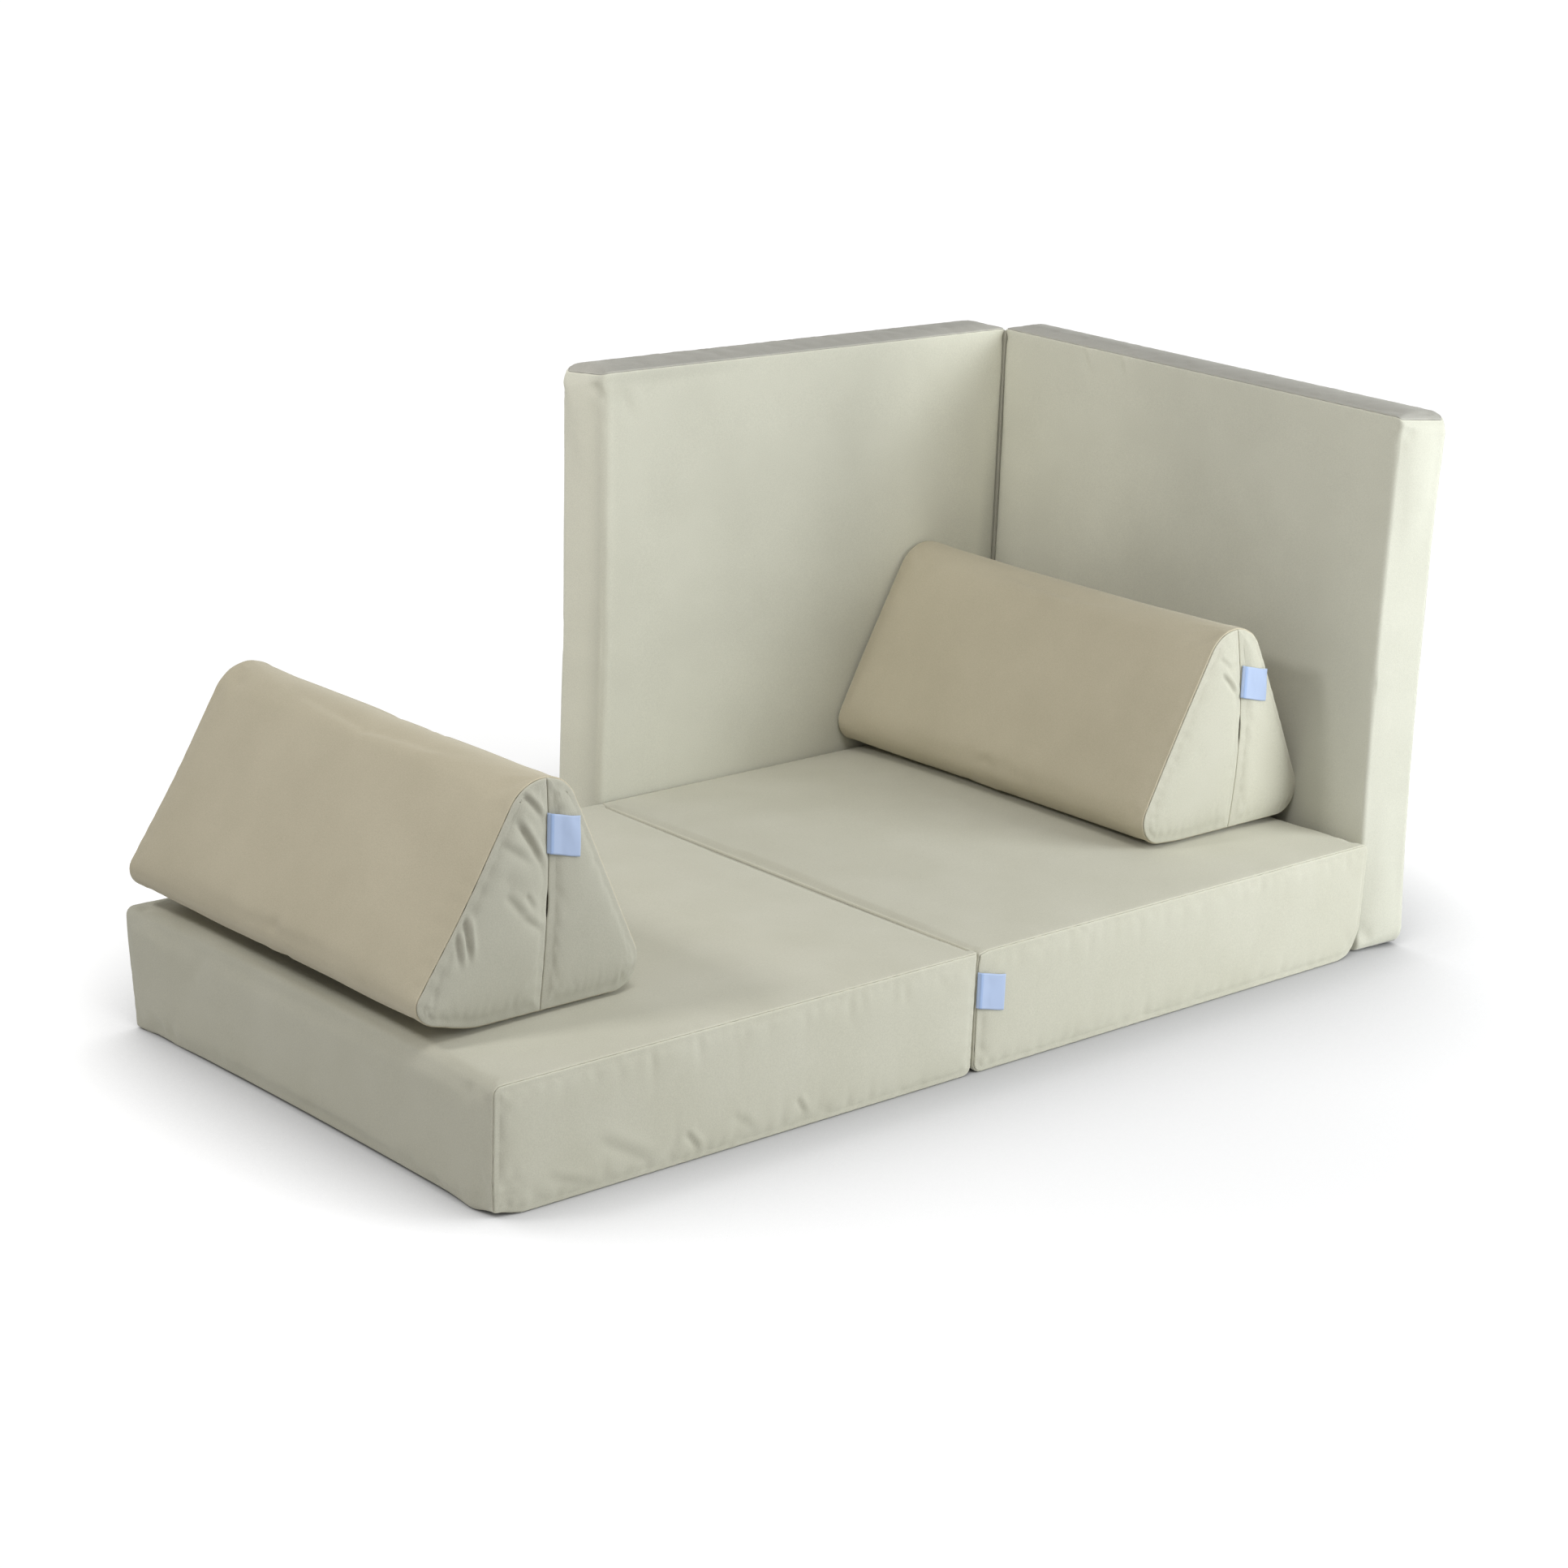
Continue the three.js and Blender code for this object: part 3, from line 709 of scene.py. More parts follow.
def end_panel(cushion, name, end, rings_at, sides, bulge, lengths, material):
    """Velvet panel sewn into a mouth of the cover: rings roll in at its edge, and a grid fills it."""
    columns, rows = (len(sides[i]) - 1 for i in (0, 1))
    away, depth = rolled_edge()
    further = 2 * SEAM_ROLL + np.array([1.2, 2.6, 4.4]) * MM
    insets = np.append(away, further)
    depths = np.append(depth, np.zeros(len(further)))
    count = len(lengths)
    flat = [rings_at(inset) for inset in insets]
    grid = coons(flat[-1], columns, rows)[1:-1, 1:-1].reshape(-1, 2)
    ids = border_ids(columns, rows, (len(insets) - 1) * count, len(insets) * count)
    p, q = np.meshgrid(np.arange(1, columns) / columns, np.arange(1, rows) / rows, indexing="ij")
    p, q = p.ravel(), q.ravel()
    nearest = np.empty(len(grid), int)
    rim = np.empty(len(grid))
    for first in range(0, len(grid), POINT_BATCH):
        batch = slice(first, first + POINT_BATCH)
        gaps = np.linalg.norm(grid[batch, None] - flat[-1][None], axis=2)
        nearest[batch] = gaps.argmin(1)
        rim[batch] = gaps.min(1) + insets[-1]
    distance = np.concatenate([np.repeat(insets, count), rim])
    depth = np.concatenate([np.repeat(depths, count), np.zeros(len(grid))])
    domed = bulge * (1 - np.exp(-distance / DOME_REACH))
    height = depth - domed
    flat = np.concatenate([*flat, grid])
    y = height if end == 0 else cushion.width - height
    points = cushion.shape(flat[:, 0], y, flat[:, 1])
    faces = np.concatenate([strip_faces(len(insets), count), patch_faces(ids)])
    faces = faces if end == 0 else faces[:, ::-1]
    normals = vertex_normals(points, faces)
    slack = np.concatenate([np.zeros(len(insets) * count), cushion.slack_on_end(end, p, q)])
    rounds = np.concatenate([np.tile(lengths, len(insets)), lengths[nearest]])
    points = cushion.relieved(points, normals, rounds, distance, slack)
    points, faces = walled(points, faces, PANEL_WALL)
    row = cushion.to_row(points)
    return mesh_object(name, row, faces, [material], pile=cushion.pile(row, np.tile(distance, 2)))


def whole_panel(cushion, name, end, bulge, material, most=FINE_STEP):
    """End panel in one piece."""
    sides = cushion.sides(CORNER_STEP, most)
    lengths, _ = cushion.ring(sides)

    def rings_at(inset):
        return cushion.outline.at(lengths, inset)[0]

    return end_panel(cushion, name, end, rings_at, sides, bulge, lengths, material)


def inset_ring(sides, sharp, inset):
    """A ring of four sides moved inwards. Where two sides meet in a sharp corner, both end there."""
    moved, places = [], []
    for number, side in enumerate(sides):
        runs = np.gradient(side, axis=0)
        runs /= np.linalg.norm(runs, axis=1, keepdims=True)
        offset = side - inset * np.stack([runs[:, 1], -runs[:, 0]], 1)
        place = running(side)
        first = inset if number in sharp else 0
        last = inset if (number + 1) % 4 in sharp else 0
        kept = first + (place[-1] - first - last) * place / place[-1]
        moved.append(np.stack([np.interp(kept, place, offset[:, axis]) for axis in (0, 1)], 1))
        places.append(place / place[-1])
    for number in range(4):
        before, after = moved[number - 1], moved[number]
        corner = (before[-1] + after[0]) / 2
        before += (corner - before[-1]) * places[number - 1][:, None] ** 4
        after += (corner - after[0]) * (1 - places[number][:, None]) ** 4
    return np.concatenate([side[:-1] for side in moved])


def half_panel(cushion, name, left, seam_line, material):
    """One of the two pieces of a pillow's near end, which meet in the seam over the zip."""
    low, far, high, near = cushion.sides(NEAR_STEP, NEAR_STEP)
    outline, cuts, foot = cushion.outline, cushion.cuts, cushion.seam_column
    top = len(high) - 1 - foot
    ends = [outline.at(np.array([at]))[0][0] for at in (cuts[0] + low[foot], cuts[2] + high[top])]
    if left:
        runs = [cuts[0] + low[: foot + 1], far, cuts[2] + high[top:], cuts[3] + near]
        sides = [outline.at(run)[0] for run in runs]
        sides[1] = seam_line(*ends, far / far[-1], 1)
        sides[0][-1], sides[2][0] = sides[1][0], sides[1][-1]
        sharp = (1, 2)
    else:
        runs = [cuts[0] + low[foot:], cuts[1] + far, cuts[2] + high[: top + 1], near]
        sides = [outline.at(run)[0] for run in runs]
        sides[3] = seam_line(*ends, 1 - near / near[-1], -1)
        sides[0][0], sides[2][-1] = sides[3][-1], sides[3][0]
        sharp = (3, 0)
    lengths = np.concatenate([run[:-1] for run in runs])

    def rings_at(inset):
        return inset_ring(sides, sharp, inset)

    return end_panel(cushion, name, 0, rings_at, sides, PILLOW_BULGE, lengths, material)


def foam_block(cushion):
    """Foam block, cut a little smaller than its cover."""
    points, faces, _, _ = cushion.block(FOAM_STEP, FOAM_INSET)
    return mesh_object(cushion.name + "_foam_block", cushion.to_row(points), faces, [FOAM])


def fold_strip(name, node, path, along, wall, pile):
    """Flat strip of velvet that joins two halves and bends between them: a path in one plane, its wall
    to both sides, drawn out along the fold."""
    path, along = np.array(path, float), np.array(along, float)
    runs = np.gradient(path, axis=0)
    beside = np.cross(runs, along)
    beside *= wall / 2 / np.linalg.norm(beside, axis=1, keepdims=True)
    ring = np.concatenate([path + beside, (path - beside)[::-1]])
    points = np.concatenate([ring + along * share for share in np.linspace(0, 1, STRIP_STEPS + 1)])
    count, half = len(ring), len(path)
    faces = strip_faces(STRIP_STEPS + 1, count).tolist()
    last = STRIP_STEPS * count
    for i in range(half - 1):
        cap = (i, i + 1, count - 2 - i, count - 1 - i)
        faces += [cap[::-1], tuple(last + j for j in cap)]
    strip = mesh_object(name, points, faces, [VELVET], pile=np.full(len(points), pile))
    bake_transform(strip)
    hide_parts(node)


def rod_row_tree():
    """Geometry nodes that set small rods with round ends along a line, shifted to and fro by turns."""
    tree = bpy.data.node_groups.new("rod_row", "GeometryNodeTree")
    tree.interface.new_socket("Geometry", in_out="OUTPUT", socket_type="NodeSocketGeometry")
    kinds = {
        "Count": "Int", "Start": "Vector", "Step": "Vector", "Rod": "Vector", "Radius": "Float",
        "Shift": "Vector", "Material": "Material",
    }
    for label, kind in kinds.items():
        tree.interface.new_socket(label, in_out="INPUT", socket_type="NodeSocket" + kind)
    given = add_node(tree, "NodeGroupInput").outputs
    line = add_node(tree, "GeometryNodeMeshLine", {
        "Count": given["Count"], "Start Location": given["Start"], "Offset": given["Step"],
    })
    number = add_node(tree, "GeometryNodeInputIndex")
    turn = add_node(tree, "ShaderNodeMath", {0: number, 1: 2.0}, operation="MODULO")
    sign = add_node(tree, "ShaderNodeMath", {0: turn, 1: 2.0, 2: -1.0}, operation="MULTIPLY_ADD")
    shift = add_node(tree, "ShaderNodeVectorMath", {0: given["Shift"], "Scale": sign}, operation="SCALE")
    placed = add_node(tree, "GeometryNodeSetPosition", {"Geometry": line, "Offset": shift})
    ball = add_node(tree, "GeometryNodeMeshUVSphere", {"Segments": 6, "Rings": 5, "Radius": 1.0})
    long = add_node(tree, "ShaderNodeVectorMath", {0: given["Rod"]}, operation="LENGTH").outputs["Value"]
    half = add_node(tree, "ShaderNodeMath", {0: long, 1: 0.5}, operation="MULTIPLY")
    size = add_node(tree, "ShaderNodeCombineXYZ", {"X": given["Radius"], "Y": given["Radius"], "Z": half})
    facing = add_node(tree, "FunctionNodeAlignRotationToVector", {"Vector": given["Rod"]}, axis="Z")
    rods = add_node(tree, "GeometryNodeInstanceOnPoints", {
        "Points": placed, "Instance": ball, "Rotation": facing, "Scale": size,
    })
    real = add_node(tree, "GeometryNodeRealizeInstances", {"Geometry": rods})
    finished = add_node(tree, "GeometryNodeSetMaterial", {"Geometry": real, "Material": given["Material"]})
    add_node(tree, "NodeGroupOutput", {"Geometry": finished})
    return tree


def rod_row(**inputs):
    """Mesh of one row of rods."""
    host = mesh_object("row", [(0, 0, 0), (MM, 0, 0), (0, MM, 0)], [(0, 1, 2)], [])
    modifier = host.modifiers.new("row", "NODES")
    modifier.node_group = RODS
    for item in RODS.interface.items_tree:
        if item.in_out == "INPUT":
            modifier[item.identifier] = inputs[item.name]
    host.update_tag()
    made = bpy.data.meshes.new_from_object(host.evaluated_get(bpy.context.evaluated_depsgraph_get()))
    bpy.data.objects.remove(host)
    return made


def joined(name, meshes, materials):
    """One object from several meshes, each with the material of its place in the list."""
    work = bmesh.new()
    for number, mesh in enumerate(meshes):
        first = len(work.faces)
        work.from_mesh(mesh)
        work.faces.ensure_lookup_table()
        for face in work.faces[first:]:
            face.material_index = number
            face.smooth = True
    mesh = bpy.data.meshes.new(name)
    work.to_mesh(mesh)
    work.free()
    return linked(name, mesh, materials)


def rounded_bar(low, high, radius, axes, origin):
    """Mesh of a box with bevelled edges, in the axes of its piece."""
    work = bmesh.new()
    bmesh.ops.create_cube(work, size=1)
    low, high = np.array(low), np.array(high)
    for vertex in work.verts:
        vertex.co = Vector((low + high) / 2 + np.array(vertex.co) * (high - low))
    bmesh.ops.bevel(work, geom=work.edges[:], offset=radius, segments=2, affect="EDGES")
    for vertex in work.verts:
        vertex.co = Vector(np.array(vertex.co) @ axes + origin)
    bmesh.ops.recalc_face_normals(work, faces=work.faces[:])
    mesh = bpy.data.meshes.new("bar")
    work.to_mesh(mesh)
    work.free()
    return mesh


def zip_chain(name, origin, axes, length, half_slot):
    """Zip: two woven tapes, the coil's teeth meeting between them, a stop at each end and stitches.
    Axes are along, across and outwards. Teeth are drawn at the coil's real pitch."""
    axes, origin = np.array(axes, float), np.array(origin, float)
    along, across, out = axes
    bars = [
        rounded_bar((0, low, -ZIP_SINK - ZIP_TAPE), (length, high, -ZIP_SINK), 0.2 * MM, axes, origin)
        for low, high in ((-half_slot, -0.15 * MM), (0.15 * MM, half_slot))
    ]
    for at in (2 * MM, length - 2 * MM):
        low, high = (at - 2 * MM, -2.2 * MM, -ZIP_SINK), (at + 2 * MM, 2.2 * MM, 0.9 * MM)
        bars.append(rounded_bar(low, high, 0.5 * MM, axes, origin))
    teeth = rod_row(
        Count=int((length - 9 * MM) / COIL_PITCH), Start=origin + along * 4.5 * MM + out * 0.1 * MM,
        Step=along * COIL_PITCH, Rod=across * 3.2 * MM, Radius=0.66 * MM, Shift=across * 0.35 * MM,
        Material=COIL)
    rows = []
    for side in (-1, 1):
        beside = across * side * (half_slot - 1.2 * MM)
        rows.append(rod_row(
            Count=int((length - 6 * MM) / STITCH_PITCH), Step=along * STITCH_PITCH,
            Start=origin + along * 4 * MM + beside - out * (ZIP_SINK - 0.1 * MM),
            Rod=along * 2.5 * MM, Radius=0.28 * MM, Shift=across * 0.06 * MM, Material=THREAD))
    return joined(name, [*bars, teeth, *rows], [TWILL, TWILL, COIL, COIL, COIL, THREAD, THREAD])


def zip_slider(name, origin):
    """Slider of a hidden zip: two wings joined by a neck, with the lug that a pull would hang from."""
    sizes = (
        ((-3.1, 0, 0.9), (3.1, 11, 1.9), 0.45),
        ((-3.1, 0, -1.9), (3.1, 11, -0.95), 0.4),
        ((-0.6, 7, -1), (0.6, 10.4, 1), 0.2),
        ((-2.9, 0.4, -1.2), (-2.3, 8, 1.2), 0.2),
        ((2.3, 0.4, -1.2), (2.9, 8, 1.2), 0.2),
        ((-0.7, 3, 1.8), (0.7, 7.5, 2.9), 0.4),
    )
    bars = [
        rounded_bar(np.array(low) * MM, np.array(high) * MM, radius * MM, FRONT_AXES, np.array(origin))
        for low, high, radius in sizes
    ]
    return joined(name, bars, [ZINC] * len(bars))


def ribbon_label(name, corner, width, height, droop, behind):
    """Folded satin ribbon sewn into a seam by one end, which lies on the velvet behind it."""
    right, _, out = FRONT_AXES
    across, up = np.meshgrid(np.linspace(0, 1, 33), np.linspace(0, 1, 25), indexing="ij")
    u, v = across.ravel(), up.ravel()
    hang = droop * (u - 0.3 * u * u)
    flat = np.stack([u * width + 0.12 * hang * v, v * height + 0.4 * MM * np.sin(5 * u) - hang, 0 * u], 1)
    points = flat @ FRONT_AXES + corner
    trees = [BVHTree.FromObject(piece, bpy.context.evaluated_depsgraph_get()) for piece in behind]
    heights = np.zeros(len(points))
    for i, point in enumerate(points):
        hits = [tree.ray_cast(Vector(point + out * 0.1), Vector(-out))[0] for tree in trees]
        found = [float((np.array(hit) - point) @ out) for hit in hits if hit is not None]
        heights[i] = max(found) if found else 0.0
    # The ribbon is stiff, so it spans dents
    heights = heights.reshape(across.shape)
    heights = np.maximum(heights, heights.max(0).mean() - LABEL_DIP)
    for _ in range(12):
        near = np.pad(heights, 1, mode="edge")
        mean = (near[:-2, 1:-1] + near[2:, 1:-1] + near[1:-1, :-2] + near[1:-1, 2:]) / 4
        heights = np.maximum(heights, mean)
    lift = 1.2 + 0.9 * u**2 + 0.3 * np.sin(7 * u + 2 * v) * u - 2.6 * (1 - ease(u / 0.1))
    points = points + (heights.ravel() + lift * MM)[:, None] * out
    ids = np.arange(len(points)).reshape(across.shape)
    points, faces = walled(points, patch_faces(ids), LABEL_WALL)
    made = mesh_object(name, points, faces, [SATIN])
    layer = made.data.uv_layers.new(name="ribbon")
    places = np.tile(np.stack([u, v], 1), (2, 1))
    for loop in made.data.loops:
        layer.data[loop.index].uv = places[loop.vertex_index]
    return made


def mat_shape(form, tuck):
    """Form of a mat half: crowned faces, a bowed outer end and a fold end drawn in."""
    width, thickness, crown, under = form

    def shape(x, y, z):
        share = np.clip(y / width, 0, 1)
        rise = swell(np.clip(x / MAT_LENGTH, 0, 1)) * swell(share)
        lift = crown * rise * z / thickness - under * rise * (1 - z / thickness)
        stretch = (MAT_LENGTH - FOLD_SETBACK - END_DRAW * bow(share)) / MAT_LENGTH
        middle = ease(np.minimum(share, 1 - share) / END_PLATEAU_SHARE)
        upright = ease((thickness - 3 * MM - z) / (13 * MM)) * ease((z - 7 * MM) / (13 * MM))
        drawn = FOLD_DRAW * middle * upright * ease(1.2 - x / FOLD_REACH)
        return tuck(np.stack([FOLD_SETBACK + x * stretch + drawn, y, z + lift], 1))
    return shape


def corner_tuck(points, corner, inwards, reach, sink):
    """Rounds a sewn corner: points near it sink inwards."""
    distance = np.linalg.norm(points - np.array(corner), axis=1)
    inwards = np.array(inwards) / np.linalg.norm(inwards)
    return points + inwards * (sink * ease(1 - distance / reach))[:, None]


def round_corner(points, axes, ends, signs, radius):
    """Bends the square corner between two faces to a quarter circle. Axes, ends and signs name the two
    directions, where the faces lie and which way they look."""
    a, b = (1 - (end - points[:, axis]) * sign / radius for axis, end, sign in zip(axes, ends, signs))
    a, b = np.clip(a, 0, 1.2), np.clip(b, 0, 1.2)
    points = points.copy()
    points[:, axes[0]] -= signs[0] * radius * a * (1 - np.sqrt(1 - b * b / 2))
    points[:, axes[1]] -= signs[1] * radius * b * (1 - np.sqrt(1 - a * a / 2))
    return points


def seat_tuck(lean, corners, flare, front):
    """The seat's outer end leans in towards the floor, its sewn corners are round, and the fold opens a
    little towards the floor."""
    def tuck(points):
        points = points.copy()
        low = 1 - np.clip(points[:, 2] / SEAT_THICKNESS, 0, 1)
        points[:, 0] -= lean * low * ease(1 - (MAT_LENGTH - points[:, 0]) / (90 * MM))
        points[:, 0] += 1.4 * MM * low * ease(1 - points[:, 0] / (60 * MM))
        for y, inwards, sink in ((0, 1, corners[0]), (SEAT_WIDTH, -1, corners[1])):
            points = corner_tuck(points, (MAT_LENGTH, y, 0), (-1, inwards, 1), 40 * MM, sink)
        points = corner_tuck(points, (MAT_LENGTH, 0, SEAT_THICKNESS), (1, -1, 0), 130 * MM, flare)
        return corner_tuck(points, (0, front, SEAT_THICKNESS), (1, 0, -1), 18 * MM, 3 * MM if lean else 0)
    return tuck


def back_tuck(inner, outer, deeper, rises):
    """The back's outer face reaches further than its folding face, its sewn corners are round, and its
    top rises by one amount at the fold and another at the outer end. Its sign says where the top is."""
    def tuck(points):
        low = 1 - np.clip(points[:, 2] / BACK_THICKNESS, 0, 1)
        radius = (CORNER_ROUND + CORNER_SPREAD * low) * MM
        for end, sign in ((BACK_WIDTH, 1), (0, -1)):
            points = round_corner(points, (0, 1), (MAT_LENGTH, end), (1, sign), radius)
        reach = ease((points[:, 0] - MAT_LENGTH + FLARE_REACH) / FLARE_REACH)
        height = points[:, 1] / BACK_WIDTH if rises[0] > 0 else 1 - points[:, 1] / BACK_WIDTH
        points[:, 1] += (rises[0] + (rises[1] - rises[0]) * points[:, 0] / MAT_LENGTH) * height
        points[:, 0] += (inner + (outer - inner) * low) * reach
        points[:, 2] -= deeper * low
        return points
    return tuck


def mat_cushion(name, axes, form, radii, seed, caps, tuck):
    """Cushion of a mat half, whose near side is its fold end with the zip."""
    width, thickness = form[:2]
    corners = [(0, 0), (MAT_LENGTH, 0), (MAT_LENGTH, thickness), (0, thickness)]
    outline = Outline(corners, np.array(radii) * MM)
    cuts = [(start + end) / 2 for start, end in outline.arcs]
    near_length = cuts[0] + outline.whole - cuts[3]
    middle = near_length / 2 + (radii[3] - radii[0]) * MM * 0.1
    cushion = Cushion(
        name, axes, width, outline, cuts, mat_shape(form, tuck), seed, caps,
        near_marks=(middle - SLOT_MARK, middle + SLOT_MARK),
        station_marks=(ZIP_MARGIN, width - ZIP_MARGIN),
    )

    def hollow(local):
        across = np.abs(local[:, 2] - thickness / 2)
        along = np.minimum(local[:, 1] - ZIP_MARGIN, width - ZIP_MARGIN - local[:, 1])
        sunk = ease((SLOT_HALF - across) / MM) * ease((along + 0.5 * MM) / MM)
        return SLOT_DEPTH * sunk * (local[:, 0] < 20 * MM)

    cushion.hollow = hollow
    cushion.thickness = thickness
    return cushion


def pillow_cushion(name, x, y, seam_shift, seam_top, seed, caps, radii, lean, fuller, lifts):
    """Cushion of a prism pillow, whose stations run from its near end. Its right slope is fuller."""
    outline = Outline([(-BASE / 2, 0), (BASE / 2, 0), (0, PEAK)], np.array(radii) * MM)
    (a0, a1), (b0, b1), (c0, c1) = outline.arcs
    cuts = [(a0 + a1) / 2, (b0 + b1) / 2, c0 + FLANK_SHARE * (c1 - c0), c1 - FLANK_SHARE * (c1 - c0)]

    def shape(px, py, pz):
        up = np.clip(pz / PEAK, 0, 1)
        px = px + lean * ease(up * 0.6) * 1.6 + fuller * bow(up) * ease(px / (40 * MM))
        for side, height, inwards, reach in lifts:
            share = ease((px * side - BASE / 2 + reach) / reach) * (1 - up)
            px = px - side * inwards * share
            pz = pz + height * share
        return np.stack([px, py, pz], 1)

    foot = (seam_shift - outline.at(np.array([cuts[0]]))[0][0][0]) / (cuts[1] - cuts[0])
    axes = [(1, 0, 0), (0, 1, 0), (0, 0, 1), (x, y, PILLOW_FOOT)]
    return Cushion(
        name, axes, PILLOW_LENGTH, outline, cuts, shape, seed, caps,
        crown=PILLOW_CROWN, seam=(foot, seam_top))


def hand_over(piece, body, node, fill=None):
    """A finished piece replaces its node and rides on its body. Its fill is not used."""
    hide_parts(node)
    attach(piece, body)


def module_pieces(cushion, fill):
    """The foam and the cover of a module."""
    name = cushion.name
    hand_over(foam_block(cushion), name, name + "_foam", fill)
    hand_over(sewn_cover(cushion), name, name + "_cover", fill)


# One dye in several tones: lighter and darker copies of the velvet for the faces they cover, painted light
# and shade for how the light falls on each
VELVET = short_pile_velvet("short_pile_velvet", "#b8b6a6", "#bdbbac")
VELVET_PAINTED_SHADE_PILLOWS = short_pile_velvet("velvet_pile_across", "#b4ac96", "#bab29c")
VELVET_PAINTED_SHADE_NEAR_END = short_pile_velvet("velvet_pile_down", "#aba99b", "#b1afa1")
VELVET_PAINTED_LIGHT_BACK = short_pile_velvet("velvet_pile_up", "#c1c0b2", "#c6c5b7")
VELVET_PAINTED_SHADE_BACK_ENDS = short_pile_velvet("velvet_pile_away", "#a2a098", "#a7a59d")
FOAM, SATIN = open_cell_foam(), satin_ribbon()
TWILL, COIL, THREAD, ZINC = zip_tape_twill(), nylon_coil(), polyester_thread(), lacquered_zinc()
RODS = rod_row_tree()
for node in bpy.data.objects:
    if node.name.endswith("_zip_slider"):
        for place in node.material_slots:
            place.material = ZINC

seat = {cushion.name: cushion for cushion in (
    mat_cushion(
        "seat_left", [(-1, 0, 0), (0, -1, 0), (0, 0, 1), (FOLD_X, 0.2686, 0)], SEAT_FORM,
        (10, 5, 9, 1.0), 11, ([2.5, 0.2, 0.1], [3, 2.5, 0.4]),
        seat_tuck(0, (1 * MM, 8 * MM), 8 * MM, SEAT_WIDTH)),
    mat_cushion(
        "seat_right", [(1, 0, 0), (0, 1, 0), (0, 0, 1), (FOLD_X, -0.3334, 0)], SEAT_FORM,
        (11, 15, 9, 1.0), 12, ([2.5, 2.5, 0.1], [0.3, 0.2, 0.4]),
        seat_tuck(5 * MM, (7 * MM, 4 * MM), 0, 0)),
)}
back = {cushion.name: cushion for cushion in (
    mat_cushion(
        "back_rear", [(-1, 0, 0), (0, 0, -1), (0, -1, 0), (0.569642, 0.3346, 0.603)], BACK_FORM,
        (11, 8, 8, 1.2), 13, ([0.3, 2.5, 2.5], [3, 0.1, 0.3]),
        back_tuck(6 * MM, 17 * MM, 3 * MM, (-5 * MM, -10 * MM))),
    mat_cushion(
        "back_side", [(0, -1, 0), (0, 0, 1), (-1, 0, 0), (0.630642, 0.2736, 0)], BACK_FORM,
        (11, 8, 4, 1.2), 14, ([0.3, 0.1, 2.5], [3, 2.5, 0.3]),
        back_tuck(0, 17 * MM, 0, (5 * MM, 1 * MM))),
)}
pillows = {cushion.name: cushion for cushion in (
    pillow_cushion(
        "left_pillow", -0.5082, -0.2264, 12 * MM, 0.55, 15, ([3, 3, 0.1], [3, 3, 3]), (19, 28, 41),
        lean=12 * MM, fuller=3 * MM, lifts=[(-1, 17 * MM, -2 * MM, 85 * MM)]),
    pillow_cushion(
        "right_pillow", 0.4419, -0.2222, 20 * MM, 0.53, 16, ([3, 3, 0.1], [0.3, 0.2, 3]), (26, 28, 41),
        lean=8.5 * MM, fuller=5 * MM, lifts=[(1, 3 * MM, 0, 30 * MM), (-1, 5 * MM, 5 * MM, 90 * MM)]),
)}
mats = {**seat, **back}
# Painted shade on the pillows' wraps with the darker copy, and painted light on the back mats' wraps with
# the lighter one
for cushion in pillows.values():
    cushion.velvet = VELVET_PAINTED_SHADE_PILLOWS
for cushion in back.values():
    cushion.velvet = VELVET_PAINTED_LIGHT_BACK

# Creases: start and end in millimetres, width, depth, and how high the ridge beside it is
pillows["left_pillow"].creases = [
    ((-523, -229, 354), (-498, -229, 325), 3.2, 3.0, 0.8),
    ((-531, -229, 329), (-497, -229, 276), 3.8, 3.6, 0.8),
    ((-549, -229, 312), (-508, -229, 283), 5, 1.7),
    ((-544, -229, 262), (-519, -229, 233), 4.6, 2.0),
    ((-523, -229, 236), (-497, -229, 216), 4.2, 1.8),
    ((-522, -229, 259), (-510, -229, 242), 3.2, 1.6),
    ((-547, -229, 282), (-526, -229, 252), 9, 1.2),
    ((-588, -229, 250), (-585, -229, 205), 3, 2.8, 1.1),
    ((-597, -229, 238), (-595, -229, 201), 2.8, 2.1, 1.1),
]
pillows["right_pillow"].creases = [
    ((426, -224, 319), (458, -224, 289), 2.8, 3.0, 0.8),
    ((421, -224, 338), (441, -224, 323), 2.6, 1.5),
    ((390, -224, 243), (408, -224, 222), 14, 0.9, 0.2),
    ((481, -224, 138), (541, -224, 141), 4, 1.2),
]
seat["seat_left"].creases = [
    ((-514, -335, 49), (-444, -335, 8), 7, 1.7),
    ((-411, -335, 32), (-392, -335, 9), 3.4, 2.3),
    ((-353, -335, 35), (-324, -335, 13), 5, 1.3),
    ((-273, -335, 33), (-259, -335, 12), 3.2, 2.1),
    ((-573, -335, 28), (-519, -335, 7), 5, 1.1),
]
seat["seat_right"].creases = [((255, 40, 136), (292, 34, 136), 9, 1.6)]
back["back_side"].creases = [
    ((567, 144, 604), (567, 134, 576), 3.8, 2.6),
    ((567, 87, 604), (567, 79, 580), 3.8, 2.6),
    ((625, -326, 566), (618, -326, 552), 5, 1.2),
    ((597, -326, 500), (632, -326, 496), 6, 0.8),
]
back["back_rear"].creases = [
    ((-13, 271, 592), (9, 271, 554), 7, 1.8),
    ((-36, 271, 606), (-25, 271, 582), 6, 1.2),
]

# Painted light and shade: patches painted lighter where more light falls and darker in shade and shadow, as
# in the gap under the left pillow, beside the right pillow and in the back's inner corner. The centre and
# the reach each way in millimetres, and how far
# Painted shade in the gap under the left pillow, which stays as a dark stripe when the pillow is lifted
seat["seat_left"].painted_light_patches = [((-605, -10, 136), (26, 240, 12), -0.42)]
